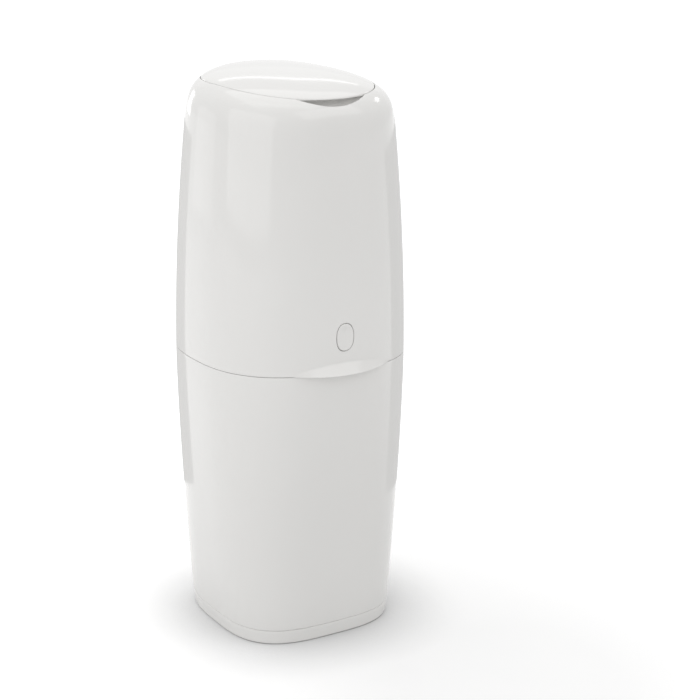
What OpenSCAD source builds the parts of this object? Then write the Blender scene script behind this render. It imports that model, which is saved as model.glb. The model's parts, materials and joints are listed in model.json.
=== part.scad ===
// Free-standing nappy bin: a barrel-shaped body in two halves, hinged at the back of
// the middle joint, with a domed flip-up lid, a film cassette under the lid and a pair
// of sprung clamp jaws below it. Front is -Y, up is +Z, the floor is z = 0.

/* [Body] */
// Height from the floor to the top of the lid
body_h = 600; // [580:5:640]
// Height of the joint between the lower and the upper half
seam_z = 302; // [290:2:320]
// Half width of the body at the joint, its widest place
body_half = 114.5; // [113:0.5:118]
// How much narrower each side is at the floor than at the joint
base_taper = 18.3; // [12:0.1:20]
// How much narrower each side is where the crown starts
top_taper = 9.7; // [8:0.1:10.5]
// Height of the rounded crown at the top
crown_h = 71; // [69:1:76]
// How far the crown's summit lies behind the middle
crown_back = 46.2; // [40:0.2:48]
// Thickness of the moulded walls
wall = 2.5; // [2.2:0.1:2.8]
// Gap that shows between the two halves
seam_gap = 0.8; // [0.6:0.1:1.2]

/* [Foot] */
// Height of the separate foot below the lower half
foot_h = 16; // [14:1:20]
// How far the rubber pads hold the foot off the floor
pad_lift = 0.6; // [0.5:0.1:2]
// Radius of a rubber pad
pad_r = 9; // [7:0.5:11]
// Distance of the pads from the middle, along X and Y
pad_reach = 62; // [56:1:66]

/* [Pull lip] */
// How far the pull lip stands out at the front
lip_out = 8.4; // [5:0.1:10]
// Height of the pull lip's curve
lip_h = 14; // [10:1:18]
// Half length of the pull lip
lip_half = 58; // [45:1:62]
// How far the lip's edge hangs below the joint
lip_drop = 2; // [0:0.5:3]

/* [Lid] */
// Distance from each side of the lid to the body's widest side
lid_side_in = 31.8; // [30.5:0.1:32.5]
// Distance from the lid's middle line to its front edge, short of the body's half width
lid_front_in = 20; // [19:0.1:22.5]
// Distance from the lid's middle line to its back edge, short of the body's half width
lid_back_in = 24.5; // [23.5:0.1:25.5]
// How far the lid's middle lies behind the body's middle
lid_y = 6.8; // [6:0.1:7.5]
// Gap all round the lid
lid_gap = 0.6; // [0.4:0.1:0.8]
// Depth of the lid's and the opening's turned-down edges
lid_edge = 4; // [3:0.5:5]
// Depth of the lid's front edge over the finger scoop
lid_edge_thin = 1.4; // [1.2:0.1:2]
// Half length of the finger scoop under the lid's front edge
scoop_half = 43.5; // [36:0.5:46]
// Radius of the finger scoop at its middle
scoop_r = 10.6; // [10:0.1:11.5]
// Thickness of the lid's liner
liner_t = 2; // [1.6:0.1:2.4]

/* [Hinges] */
// Radius of the steel pin of the body's hinge
hinge_pin_r = 2; // [1.5:0.1:2.4]
// Radius of the body's hinge knuckles
knuckle_r = 4; // [3.8:0.1:4.6]
// Half length of the upper half's knuckle
knuckle_half = 21; // [16:1:26]
// Length of each knuckle of the lower half
knuckle_l = 16; // [12:1:20]
// Radius of the lid's hinge pin
lid_pin_r = 1.25; // [1:0.05:1.5]
// Radius of the lid's hinge knuckles
lid_knuckle_r = 3; // [2.8:0.1:3.3]
// Half length of the lid's own knuckle
lid_knuckle_half = 14; // [10:1:18]
// Length of each lid ear on the upper half
lid_ear_l = 10; // [8:1:12]
// Radial clearance of a pin in its bore
pin_play = 0.05; // [0.03:0.01:0.08]

/* [Button and latch] */
// Width of the release button
button_w = 21; // [18:0.5:24]
// Height of the release button
button_h = 30.5; // [27:0.5:33]
// Height of the button's middle above the joint
button_up = 36; // [34:0.5:38]
// Gap all round the button
button_gap = 0.6; // [0.4:0.1:0.9]
// How far the button is pressed
button_travel = 4; // [3:0.5:4.5]
// Height of the lever's pivot above the button's middle
pivot_up = 34; // [32:1:36]
// Radius of the lever's pivot pin
latch_pin_r = 1.5; // [1.2:0.1:1.8]
// How far the hook reaches under its catch
hook_grip = 3.2; // [2:0.1:3.8]

/* [Cassette] */
// Width of the film cassette's rim
cassette_w = 154; // [148:1:156]
// Depth of the film cassette's rim
cassette_d = 112; // [106:1:116]
// Height of the film cassette
cassette_h = 54; // [50:1:58]
// Width of the opening through the cassette
throat_w = 104; // [96:1:106]
// Depth of the opening through the cassette
throat_d = 60; // [54:1:62]
// Height of the cassette's rim
rim_h = 6; // [5:0.5:7]
// Length of the cut corners of the cassette, along X and Y
corner_cut = 26; // [20:1:30]
// Depth of the cassette's rim below the top of the lid
rim_down = 35.5; // [35:0.5:37]

/* [Clamp jaws] */
// Width of a clamp jaw
jaw_w = 113; // [110:1:114]
// Depth of a clamp jaw, lip included
jaw_d = 34; // [32:1:36]
// Thickness of a clamp jaw
jaw_t = 10; // [8:0.5:12]
// How far each jaw slides open
jaw_travel = 27; // [22:1:28]
// Sliding clearance round a jaw
jaw_play = 0.4; // [0.3:0.05:0.5]
// Distance from the frame's end walls to the body's widest side
frame_in = 42.5; // [40.5:0.5:44.5]
// Distance of the jaw springs from the middle
spring_x = 35; // [30:1:38]

/* [Film cutter] */
// Height of the film cutter's middle above the joint
cutter_up = 34; // [30:1:44]
// Length of the film cutter
cutter_l = 48; // [44:1:54]
// Height of the film cutter
cutter_h = 20; // [18:1:24]

/* [Screws] */
// Radius of the screws' shanks
screw_r = 1.75; // [1.5:0.05:1.9]
// Radius of the screws' heads
screw_head_r = 3.4; // [3:0.1:3.6]
// Height of the screws' heads
screw_head_h = 1.8; // [1.5:0.1:2]

/* [Hidden] */

points_round = 56;              // points round each ring of a moulded shell
$fn = 48;
eps = 0.01;
touch = 0.3;                    // gap that is left between soft or moving neighbours
screw_play = 0.05;              // radial gap of a screw in its boss
boss_r = 4.5;                   // radius of the screw bosses

// ---------- the body's surface ----------

crown_z = body_h - crown_h;
foot_n = 3.17;                  // squareness of the plan: 2 is a circle, more is squarer
seam_n = 2.58;
crown_n = 2.45;
base_power = 1.3;
crown_power = 5.2;
crown_round = 1.91;
back_power = 5.3;

function squareness(z) =
    z < seam_z ? foot_n + (seam_n - foot_n) * max(z, 0) / seam_z
    : z < crown_z ? seam_n + (crown_n - seam_n) * (z - seam_z) / (crown_z - seam_z)
    : crown_n;
function crown_share(z) = min(1, max(0, (z - crown_z) / crown_h));
function half_at(z) =
    z < seam_z ? body_half - base_taper * pow((seam_z - z) / seam_z, base_power)
    : (body_half - top_taper * pow((z - seam_z) / (crown_z - seam_z), 2))
        * pow(max(0, 1 - pow(crown_share(z), crown_power)), 1 / crown_round);
function back_at(z) = crown_back * pow(crown_share(z), back_power);

// One point of a rounded square of half width 1, seen from its middle at angle a
function round_square(a, n) =
    [cos(a), sin(a)] / pow(pow(abs(cos(a)), n) + pow(abs(sin(a)), n), 1 / n);
function angle(i) = 360 * i / points_round;

// A level ring of the body at height z, drawn in by inset
function body_ring(z, inset = 0, at = undef) =
    [for (i = [0 : points_round - 1])
        let (p = round_square(angle(i), squareness(z)) * (half_at(z) - inset))
        [p.x, p.y + back_at(z), is_undef(at) ? z : at]];

// The crown's height above a point of the plan, by halving
function crown_at(x, y, low = 0, high = 1, steps = 22) =
    let (mid = (low + high) / 2, z = crown_z + mid * crown_h, h = max(half_at(z), eps),
        out = pow(abs(x) / h, crown_n) + pow(abs(y - back_at(z)) / h, crown_n) > 1)
    steps == 0 ? z : crown_at(x, y, out ? low : mid, out ? mid : high, steps - 1);

lid_half = body_half - lid_side_in;
lid_front = body_half - lid_front_in;
lid_back = body_half - lid_back_in;

// The lid's outline in plan, drawn in by inset
function lid_point(a, inset = 0) =
    let (p = round_square(a, lid_n))
    [p.x * (lid_half - inset), lid_y + p.y * ((p.y < 0 ? lid_front : lid_back) - inset)];
lid_n = 2.39;
function lid_ring(inset, down) =
    [for (i = [0 : points_round - 1])
        let (p = lid_point(angle(i), inset)) [p.x, p.y, crown_at(p.x, p.y) - down]];
function flat_lid_ring(inset, z) =
    [for (i = [0 : points_round - 1]) let (p = lid_point(angle(i), inset)) [p.x, p.y, z]];

// The underside of the lid's turned-down edge, which thins out over the finger scoop
thin_half = scoop_half + 8.5;                   // half length of the thinned edge
function scoop_share(p) =
    p.y < lid_y ? max(0, min(1, 1.3 * (1 - pow(p.x / thin_half, 2)))) : 0;
function lid_edge_ring(inset, less = 0) =
    [for (i = [0 : points_round - 1])
        let (p = lid_point(angle(i), inset), thin = lid_edge_thin + 0.4 * inset,
            down = lid_edge - (lid_edge - thin) * scoop_share(p) - less)
        [p.x, p.y, crown_at(p.x, p.y) - down]];

// A ring part way, by share, from a level ring of the body to the lid's outline
function blend_ring(z, share, down = 0) =
    [for (i = [0 : points_round - 1])
        let (a = round_square(angle(i), crown_n) * half_at(z) + [0, back_at(z)],
            b = lid_point(angle(i), -lid_gap), p = a + (b - a) * share)
        [p.x, p.y, crown_at(p.x, p.y) - down]];

// The body ring at height z, with the pull lip's curve added at the front
function lip_bump(x) = max(0, 1 - pow(x / lip_half, 2));
function lip_ring(z) =
    [for (p = body_ring(z))
        let (b = p.y < 0 ? lip_bump(p.x) : 0, h = lip_h * (0.35 + 0.65 * b),
            up = z - seam_z - seam_gap / 2, rise = max(0, 1 - up / h))
        [p.x, p.y - lip_out * b * pow(rise, 1.8), z - (up < eps ? lip_drop * b : 0)]];

// A solid skin over rings of points: a tube that closes on itself, or one with two ends
module skin(rings, loop = false) {
    n = len(rings[0]);
    last = len(rings) - 1;
    sides = [for (i = [0 : loop ? last : last - 1], j = [0 : n - 1])
        let (a = i * n, b = ((i + 1) % (last + 1)) * n, k = (j + 1) % n)
        each [[a + j, b + j, b + k], [a + j, b + k, a + k]]];
    ends = loop ? [] : [[for (j = [0 : n - 1]) j], [for (j = [n - 1 : -1 : 0]) last * n + j]];
    polyhedron([for (r = rings) each r], concat(sides, ends), convexity = 10);
}

// A flat ring of points as a level plate or wall
module level_prism(points, z, h) {
    translate([0, 0, z])
        linear_extrude(h)
            polygon([for (p = points) [p.x, p.y]]);
}

function octagon(w, d, cut) =
    [[w / 2 - cut, -d / 2], [w / 2, -d / 2 + cut], [w / 2, d / 2 - cut], [w / 2 - cut, d / 2],
    [cut - w / 2, d / 2], [-w / 2, d / 2 - cut], [-w / 2, cut - d / 2], [cut - w / 2, -d / 2]];

// An octagonal wall round the cassette's middle, from the outline w by d inwards by t
module octagon_wall(w, d, cut, t, z, h) {
    translate([0, lid_y, z])
        linear_extrude(h)
            difference() {
                polygon(octagon(w, d, cut));
                polygon(octagon(w - 2 * t, d - 2 * t, cut - 0.6 * t));
            }
}

// ---------- screws and springs ----------

// A cross-head screw along +Z whose head stands on z = 0 and whose shank goes up
module screw(length) {
    slot = 0.9;
    difference() {
        union() {
            translate([0, 0, -screw_head_h])
                cylinder(r = screw_head_r, h = screw_head_h);
            cylinder(r = screw_r, h = length);
        }
        for (turn = [0, 90])
            rotate(turn)
                translate([-screw_head_r * 0.62, -slot / 2, -screw_head_h - eps])
                    cube([screw_head_r * 1.24, slot, 1]);
    }
}

// A coil spring along +Z from z = 0, of the given outer radius
module coil(length, outer_r, wire, turns) {
    r = outer_r - wire / 2;
    steps = 8;
    sides = 5;
    rise = (length - wire) / turns;
    rings = [for (i = [0 : turns * steps])
        let (a = 360 * i / steps, lean = atan(rise / (2 * PI * r)), c = [cos(a), sin(a), 0],
            up = [sin(a) * sin(lean), -cos(a) * sin(lean), cos(lean)])
        [for (k = [0 : sides - 1])
            let (b = -360 * k / sides)
            c * (r + wire / 2 * cos(b)) + up * wire / 2 * sin(b)
                + [0, 0, wire / 2 + rise * i / steps]]];
    skin(rings);
}

// ---------- foot and lower half ----------

foot_floor = 3;                                 // thickness of the foot's floor
foot_gap = 0.3;                                 // fine line between the foot and the shell
shell_z = foot_h + foot_gap;                    // underside of the lower shell
pad_sink = 1;                                   // depth of the pockets for the pads
base_screw_xy = pad_reach - pad_r - screw_head_r - 5;
corners = [[1, 1], [-1, 1], [-1, -1], [1, -1]];

module base_foot() {
    top = foot_h - pad_lift;
    color("gainsboro")
        difference() {
            union() {
                skin([body_ring(0, 2.2, pad_lift), body_ring(0, 1.2, pad_lift + 0.4),
                    body_ring(0, 0.8, pad_lift + 1.4), body_ring(foot_h, 0.6, foot_h - 1),
                    body_ring(foot_h, 1, foot_h), body_ring(foot_h, 1 + wall, foot_h),
                    body_ring(0, 1.4 + wall, pad_lift + foot_floor + 2),
                    body_ring(0, 4 + wall, pad_lift + foot_floor)]);
                for (c = corners)
                    translate([c.x * base_screw_xy, c.y * base_screw_xy, pad_lift + foot_floor - eps])
                        cylinder(r = boss_r, h = 2 + eps);
            }
            for (c = corners) {
                translate([c.x * pad_reach, c.y * pad_reach, pad_lift - 1])
                    cylinder(r = pad_r + 0.2, h = pad_sink + 1);
                translate([c.x * base_screw_xy, c.y * base_screw_xy, pad_lift - 1]) {
                    cylinder(r = screw_head_r + 0.3, h = screw_head_h + 1.3);
                    cylinder(r = screw_r + 0.2, h = top);
                }
            }
        }
}

module rubber_pads() {
    color("dimgray")
        for (c = corners)
            translate([c.x * pad_reach, c.y * pad_reach, 0]) {
                translate([0, 0, 0.8])
                    cylinder(r = pad_r, h = pad_lift + pad_sink - 0.8);
                cylinder(r1 = pad_r - 0.8, r2 = pad_r, h = 0.8);
            }
}

base_seat_z = pad_lift + screw_head_h + 0.3;
base_boss_z = pad_lift + foot_floor + 2;

module base_screws() {
    color("silver")
        for (c = corners)
            translate([c.x * base_screw_xy, c.y * base_screw_xy, base_seat_z])
                screw(shell_z - base_seat_z);
}

spigot_in = wall + 0.5;                         // outer face of the spigot, in from the shell
spigot_t = 2;
spigot_h = 7;
lower_top = seam_z - seam_gap / 2;
upper_bottom = seam_z + seam_gap / 2;
hinge_y = body_half + knuckle_r + 0.4;
catch_half = 10;                                // half width of the hook's catch
catch_t = 4;
catch_z = seam_z - 4;                           // underside of the catch
spigot_face = body_half - spigot_in - spigot_t; // inner face of the spigot at the front
catch_reach = 5;

module lower_shell() {
    floor_t = wall;
    wall_zs = [shell_z + 20, 70, 115, 160, 205, 245, 278];
    outer = [for (z = [shell_z, each wall_zs]) body_ring(z)];
    inner = [for (i = [len(wall_zs) - 1 : -1 : 0]) body_ring(wall_zs[i], wall)];
    rings = concat([body_ring(shell_z, 1)], outer,
        [body_ring(seam_z, 0, lower_top - 0.6), body_ring(seam_z, 0.5, lower_top),
        body_ring(seam_z, spigot_in, lower_top),
        body_ring(seam_z, spigot_in, seam_z + spigot_h - 1),
        body_ring(seam_z, spigot_in + 0.6, seam_z + spigot_h),
        body_ring(seam_z, spigot_in + spigot_t, seam_z + spigot_h),
        body_ring(seam_z, spigot_in + spigot_t, seam_z - 7),
        body_ring(seam_z, wall, seam_z - 11)],
        inner,
        [body_ring(shell_z, wall + 0.4, shell_z + floor_t + 6),
        body_ring(shell_z, wall + 2, shell_z + floor_t + 1.5),
        body_ring(shell_z, wall + 6, shell_z + floor_t)]);
    color("whitesmoke")
        difference() {
            union() {
                skin(rings);
                for (c = corners)
                    translate([c.x * base_screw_xy, c.y * base_screw_xy, base_boss_z])
                        cylinder(r = boss_r, h = shell_z - base_boss_z + 1);
                // catch for the latch's hook
                translate([-catch_half, -spigot_face - 1, catch_z])
                    cube([2 * catch_half, catch_reach + 1, catch_t]);
                for (s = [-1, 1])
                    lower_knuckle(s);
            }
            for (c = corners)
                translate([c.x * base_screw_xy, c.y * base_screw_xy, base_boss_z - 1])
                    cylinder(r = screw_r + screw_play, h = shell_z - base_boss_z + 1.4);
            hinge_bore();
        }
}

module lower_knuckle(side) {
    x = side > 0 ? knuckle_half + touch : -knuckle_half - touch - knuckle_l;
    translate([x, hinge_y, seam_z])
        rotate([0, 90, 0])
            cylinder(r = knuckle_r, h = knuckle_l);
    translate([x, hinge_y, seam_z])
        rotate([90, 0, 90])
            linear_extrude(knuckle_l)
                polygon([[-8.6, -0.8], [-8.6, -16], [-3.8, -16], [knuckle_r - 0.6, -3],
                    [knuckle_r - 0.6, -0.8]]);
}

hinge_half = knuckle_half + touch + knuckle_l;  // half length over the outer knuckles

// The bore that runs through all knuckles of the body's hinge
module hinge_bore() {
    translate([-hinge_half - 5, hinge_y, seam_z])
        rotate([0, 90, 0])
            cylinder(r = hinge_pin_r + pin_play, h = 2 * hinge_half + 10);
}

module rear_hinge_pin() {
    l = 2 * hinge_half - 2;
    color("silver")
        translate([-l / 2, hinge_y, seam_z])
            rotate([0, 90, 0])
                cylinder(r = hinge_pin_r, h = l);
}

// ---------- upper half ----------

button_z = seam_z + button_up;
lid_pin_y = lid_y + lid_back - 1.2;
lid_pin_z = crown_at(0, lid_y + lid_back) + 1.7;
scoop_y = lid_y - lid_front;                    // the lid's front edge
scoop_z = crown_at(0, scoop_y);
rim_z = body_h - rim_down;                      // top of the cassette's rim
deck_z = rim_z - rim_h;                         // top of the cassette tray's deck
deck_t = 2.5;
tray_boss_z = deck_z + 8;
latch_boss_x = 27;
latch_boss_y = -half_at(button_z) + 12;         // the bracket's face on its bosses
cutter_z = seam_z + cutter_up;
cutter_boss_x = half_at(cutter_z) - 8;

// Places of the four tray bosses, drawn in from the corners of the inner wall
function tray_boss(c, inward) =
    let (r = (half_at(tray_boss_z) - wall / 2) * pow(2, -1 / crown_n) - inward)
    [c.x * r, c.y * r + back_at(tray_boss_z)];

module button_shape(grow) {
    polygon([for (i = [0 : 47])
        let (p = round_square(360 * i / 48, 2.3))
        [p.x * (button_w / 2 + grow), p.y * (button_h / 2 + grow)]]);
}

// Stretches a shape from the front face inwards, from y0 to y1 at the button's height
module at_button(y0, y1) {
    translate([0, y1, button_z])
        rotate([90, 0, 0])
            linear_extrude(y1 - y0)
                children();
}

// A bent spindle along the lid's front edge, that the scoop is cut with
function lid_edge_y(x) = lid_y - lid_front * pow(1 - pow(abs(x) / lid_half, lid_n), 1 / lid_n);
module scoop(grow) {
    sides = 32;
    steps = 8;
    skin([for (i = [-steps : steps])
        let (x = scoop_half * 0.99 * sin(90 * i / steps), y = lid_edge_y(x), z = crown_at(x, y),
            r = scoop_r * (1 - pow(x / scoop_half, 2)) + grow)
        [for (k = [0 : sides - 1])
            let (a = 360 * (k + 0.5) / sides)
            [x + grow * sin(90 * i / steps), y + r * cos(a), z + r * sin(a)]]]);
}

module upper_shell() {
    wall_zs = [for (s = [0.14, 0.34, 0.56, 0.78, 0.95]) seam_z + s * (crown_z - seam_z)];
    crown_zs = [for (s = [0.1, 0.26, 0.4, 0.51, 0.6]) crown_z + s * crown_h];
    top = crown_z + 0.6 * crown_h;
    lip_zs = [for (s = [0, 0.14, 0.36, 0.64, 1]) s * lip_h];
    outer = concat([for (s = lip_zs) lip_ring(upper_bottom + s)],
        [for (z = concat(wall_zs, crown_zs)) body_ring(z)],
        [for (s = [0.3, 0.6, 0.85, 1]) blend_ring(top, s)]);
    inner = concat(
        [for (s = [0.85, 0.5]) blend_ring(top, s, wall)],
        [for (i = [len(crown_zs) - 1 : -1 : 0]) body_ring(crown_zs[i], wall, crown_zs[i] - 1)],
        [for (i = [len(wall_zs) - 1 : -1 : 0]) body_ring(wall_zs[i], wall)],
        [body_ring(upper_bottom + 8, wall), body_ring(upper_bottom, wall),
        body_ring(upper_bottom, 0.8)]);
    color("white")
        difference() {
            union() {
                skin(concat(outer, [lid_ring(-lid_gap, lid_edge)],
                    [lid_ring(-lid_gap - 2, lid_edge)], inner), loop = true);
                intersection() {
                    scoop(wall - 0.3);
                    skin(concat([for (z = [crown_z, each crown_zs]) body_ring(z, 0.4)],
                        [for (s = [0.3, 0.6, 0.85, 1]) blend_ring(top, s, 0.4)],
                        [lid_ring(-lid_gap, lid_edge - 0.2), lid_ring(lid_gap, lid_edge + 0.6),
                        flat_lid_ring(25, scoop_z - lid_edge - 0.6)]));
                }
                for (c = corners)
                    tray_boss_post(c);
                // bosses for the latch's bracket and for the film cutter
                for (x = [-latch_boss_x, latch_boss_x])
                    translate([x, latch_boss_y, button_z])
                        rotate([90, 0, 0])
                            cylinder(r = boss_r, h = 12 - wall + 0.3);
                for (y = [-18, 18])
                    translate([cutter_boss_x, y, cutter_z])
                        rotate([0, 90, 0])
                            cylinder(r = 4, h = 8 - wall / 2);
                upper_knuckle();
                for (s = [-1, 1])
                    lid_ear(s);
            }
            scoop(0);
            at_button(-body_half - 5, -body_half + 12)
                button_shape(button_gap);
            for (c = corners)
                translate(concat(tray_boss(c, 7), deck_z - 1))
                    cylinder(r = screw_r + screw_play, h = 8);
            for (x = [-latch_boss_x, latch_boss_x])
                translate([x, latch_boss_y + 1, button_z])
                    rotate([90, 0, 0])
                        cylinder(r = screw_r + screw_play, h = 9);
            for (y = [-18, 18])
                translate([cutter_boss_x - 1, y, cutter_z])
                    rotate([0, 90, 0])
                        cylinder(r = screw_r + screw_play, h = 6);
            hinge_bore();
            translate([-lid_knuckle_half - touch, lid_pin_y, lid_pin_z])
                rotate([0, 90, 0])
                    cylinder(r = lid_knuckle_r + 0.6, h = 2 * (lid_knuckle_half + touch));
            lid_bore();
        }
}

lid_ears_half = lid_knuckle_half + touch + lid_ear_l;

// The bore that runs through the lid's knuckle and its ears
module lid_bore() {
    translate([-lid_ears_half - 5, lid_pin_y, lid_pin_z])
        rotate([0, 90, 0])
            cylinder(r = lid_pin_r + pin_play, h = 2 * lid_ears_half + 10);
}

module tray_boss_post(c) {
    at = tray_boss(c, 7);
    to = tray_boss(c, 0);
    translate([at.x, at.y, deck_z])
        cylinder(r = boss_r, h = tray_boss_z - deck_z);
    translate([at.x, at.y, deck_z])
        rotate(atan2(to.y - at.y, to.x - at.x))
            translate([0, -1.5, 0])
                cube([norm(to - at), 3, tray_boss_z - deck_z]);
}

module upper_knuckle() {
    translate([-knuckle_half, hinge_y, seam_z])
        rotate([0, 90, 0])
            cylinder(r = knuckle_r, h = 2 * knuckle_half);
    translate([-knuckle_half, hinge_y, seam_z])
        rotate([90, 0, 90])
            linear_extrude(2 * knuckle_half)
                polygon([[-7, 0.8], [knuckle_r - 0.6, 0.8], [knuckle_r - 0.6, 3], [-3.8, 17],
                    [-7, 17]]);
}

module lid_ear(side) {
    x = side > 0 ? lid_knuckle_half + touch : -lid_knuckle_half - touch - lid_ear_l;
    translate([x, lid_pin_y, lid_pin_z])
        rotate([0, 90, 0])
            cylinder(r = lid_knuckle_r, h = lid_ear_l);
    translate([x, lid_pin_y - 1, lid_pin_z - 9])
        cube([lid_ear_l, 1 + lid_knuckle_r, 9]);
}

// ---------- cassette tray, cassette and clamp ----------

cup_w = cassette_w - 6;
cup_d = cassette_d - 6;
cup_cut = corner_cut - 2;
cup_z = rim_z - cassette_h;                     // underside of the cassette
sleeve_t = 2;
sleeve_w = cup_w + 2 * (0.6 + sleeve_t);
sleeve_d = cup_d + 2 * (0.6 + sleeve_t);
sleeve_z = cup_z - 0.5 - 2.5;                   // underside of the tray's sleeve
frame_top_t = 3;
jaw_z = sleeve_z - frame_top_t - touch - jaw_t; // underside of the jaws
rail_t = 2.5;
rail_w = 9;                                     // width of a rail, frame wall included
rail_z = jaw_z - touch - rail_t;                // underside of the jaws' rails
frame_wall_t = 3;
frame_half = jaw_w / 2 + jaw_play + frame_wall_t;
frame_reach = body_half - frame_in;             // from the middle to the end walls
clamp_screw_x = frame_half - frame_wall_t - screw_head_r - 3.5;
clamp_screw_y = frame_reach - 6;
clamp_screw_grip = 9;

module cassette_tray() {
    color("gainsboro")
        difference() {
            union() {
                level_prism(body_ring(deck_z, wall + 1.4), deck_z - deck_t, deck_t);
                octagon_wall(sleeve_w, sleeve_d, cup_cut + 1.5, sleeve_t, sleeve_z,
                    deck_z - sleeve_z);
                octagon_wall(sleeve_w, sleeve_d, cup_cut + 1.5, 8, sleeve_z, 2.5);
                for (c = corners)
                    translate([c.x * clamp_screw_x, lid_y + c.y * clamp_screw_y, sleeve_z])
                        cylinder(r = boss_r, h = deck_z - deck_t - sleeve_z + 1);
            }
            translate([0, lid_y, deck_z - deck_t - 1])
                linear_extrude(deck_t + 2)
                    polygon(octagon(cup_w + 1.2, cup_d + 1.2, cup_cut));
            for (c = corners) {
                translate(concat(tray_boss(c, 7), deck_z - deck_t - 1))
                    cylinder(r = screw_r + 0.2, h = deck_t + 2);
                translate([c.x * clamp_screw_x, lid_y + c.y * clamp_screw_y, sleeve_z - 1])
                    cylinder(r = screw_r + screw_play, h = clamp_screw_grip + 3);
            }
        }
}

module tray_screws() {
    color("silver")
        for (c = corners)
            translate(concat(tray_boss(c, 7), deck_z - deck_t))
                screw(deck_t + 6);
}

module clamp_frame() {
    long = frame_reach + frame_wall_t;
    h = sleeve_z - rail_z;
    color("gainsboro")
        translate([0, lid_y, 0])
            difference() {
                translate([-frame_half, -long, rail_z])
                    cube([2 * frame_half, 2 * long, h]);
                // room for the jaws and their springs
                translate([frame_wall_t - frame_half, -frame_reach, rail_z + rail_t])
                    cube([2 * (frame_half - frame_wall_t), 2 * frame_reach,
                        h - rail_t - frame_top_t]);
                // open underside between the rails
                translate([rail_w - frame_half, -frame_reach, rail_z - 1])
                    cube([2 * (frame_half - rail_w), 2 * frame_reach, rail_t + 2]);
                translate([0, 0, sleeve_z - frame_top_t - 1])
                    linear_extrude(frame_top_t + 2)
                        polygon(octagon(throat_w, throat_d, corner_cut / 2));
                for (c = corners)
                    translate([c.x * clamp_screw_x, c.y * clamp_screw_y, sleeve_z - frame_top_t - 1])
                        cylinder(r = screw_r + 0.2, h = frame_top_t + 2);
            }
    color("gainsboro")
        for (x = [-spring_x, spring_x], s = [-1, 1])
            translate([x, lid_y + s * frame_reach, jaw_z + jaw_t / 2])
                rotate([s * 90, 0, 0])
                    spring_peg();
}

// A short peg that keeps a jaw spring in place, along +Z
module spring_peg() {
    translate([0, 0, -eps])
        cylinder(r = 2.2, h = 4 + eps);
}

module clamp_screws() {
    color("silver")
        for (c = corners)
            translate([c.x * clamp_screw_x, lid_y + c.y * clamp_screw_y, sleeve_z - frame_top_t])
                screw(frame_top_t + clamp_screw_grip);
}

jaw_lip_t = 3;
jaw_spring_r = 4;
jaw_spring_wire = 0.9;

// A jaw of the clamp, drawn as the rear one: it closes towards -Y at the middle
module jaw() {
    back = jaw_d;
    difference() {
        translate([-jaw_w / 2, jaw_lip_t, jaw_z])
            cube([jaw_w, back - jaw_lip_t, jaw_t]);
        // slope that leads the nappy to the gap
        translate([-jaw_w / 2 + 5, jaw_lip_t - 1, jaw_z + jaw_t])
            rotate([-20, 0, 0])
                translate([0, -6, 0])
                    cube([jaw_w - 10, 22, 12]);
        // hollow underside
        translate([-jaw_w / 2 + 8, jaw_lip_t + 5, jaw_z - 1])
            cube([jaw_w - 16, back - jaw_lip_t - 10, 4]);
    }
    for (x = [-spring_x, spring_x])
        translate([x, back, jaw_z + jaw_t / 2])
            rotate([-90, 0, 0])
                spring_peg();
}

module jaw_lip() {
    translate([-jaw_w / 2 + 3, touch / 2, jaw_z + 0.5])
        cube([jaw_w - 6, jaw_lip_t - touch / 2, jaw_t - 4.6]);
}

module jaw_springs() {
    length = frame_reach - jaw_d - 2 * touch;
    for (x = [-spring_x, spring_x])
        translate([x, jaw_d + touch, jaw_z + jaw_t / 2])
            rotate([-90, 0, 0])
                coil(length, jaw_spring_r, jaw_spring_wire, 8);
}

module rear_side() {
    translate([0, lid_y, 0])
        children();
}

module front_side() {
    translate([0, lid_y, 0])
        mirror([0, 1, 0])
            children();
}

module rear_jaw() { color("white") rear_side() jaw(); }
module rear_jaw_lip() { color("slategray") rear_side() jaw_lip(); }
module rear_jaw_springs() { color("silver") rear_side() jaw_springs(); }
module front_jaw() { color("white") front_side() jaw(); }
module front_jaw_lip() { color("slategray") front_side() jaw_lip(); }
module front_jaw_springs() { color("silver") front_side() jaw_springs(); }

cup_t = 1.2;

module cassette_cup() {
    h = cassette_h - rim_h;
    color("lightgray") {
        octagon_wall(cup_w, cup_d, cup_cut, cup_t, cup_z, h);
        octagon_wall(throat_w + 2 * cup_t, throat_d + 2 * cup_t, corner_cut / 2 + 0.5, cup_t,
            cup_z, h - 7);
        translate([0, lid_y, cup_z])
            linear_extrude(1.5)
                difference() {
                    polygon(octagon(cup_w, cup_d, cup_cut));
                    polygon(octagon(throat_w, throat_d, corner_cut / 2));
                }
    }
}

module cassette_rim() {
    lip_in = 3;
    color("midnightblue") {
        octagon_wall(cassette_w, cassette_d, corner_cut, 3, deck_z, rim_h - 1);
        octagon_wall(cassette_w - 2, cassette_d - 2, corner_cut - 0.6,
            (cassette_w - 2 - throat_w) / 2, deck_z + rim_h - 2.4, 2.4);
        // skirt that guides the film down the opening
        octagon_wall(throat_w + 2 * lip_in, throat_d + 2 * lip_in, corner_cut / 2 + 1.8, 1.5,
            deck_z - 6, rim_h + 4);
    }
}

module film_pack() {
    inner_w = throat_w + 2 * cup_t + 1;
    inner_d = throat_d + 2 * cup_t + 1;
    pack_w = cup_w - 2 * cup_t - 1;
    pack_d = cup_d - 2 * cup_t - 1;
    color("white")
        translate([0, lid_y, cup_z + 1.5])
            linear_extrude(cassette_h - rim_h - 11)
                difference() {
                    polygon(octagon(pack_w, pack_d, cup_cut - 0.5));
                    polygon(octagon(inner_w, inner_d, corner_cut / 2 + 1));
                }
}

// ---------- lid ----------

liner_in = 17;                                  // the liner's edge, in from the lid's
liner_z = rim_z + 2.5;                          // underside of the liner
seal_h = liner_z - rim_z - touch;

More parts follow.
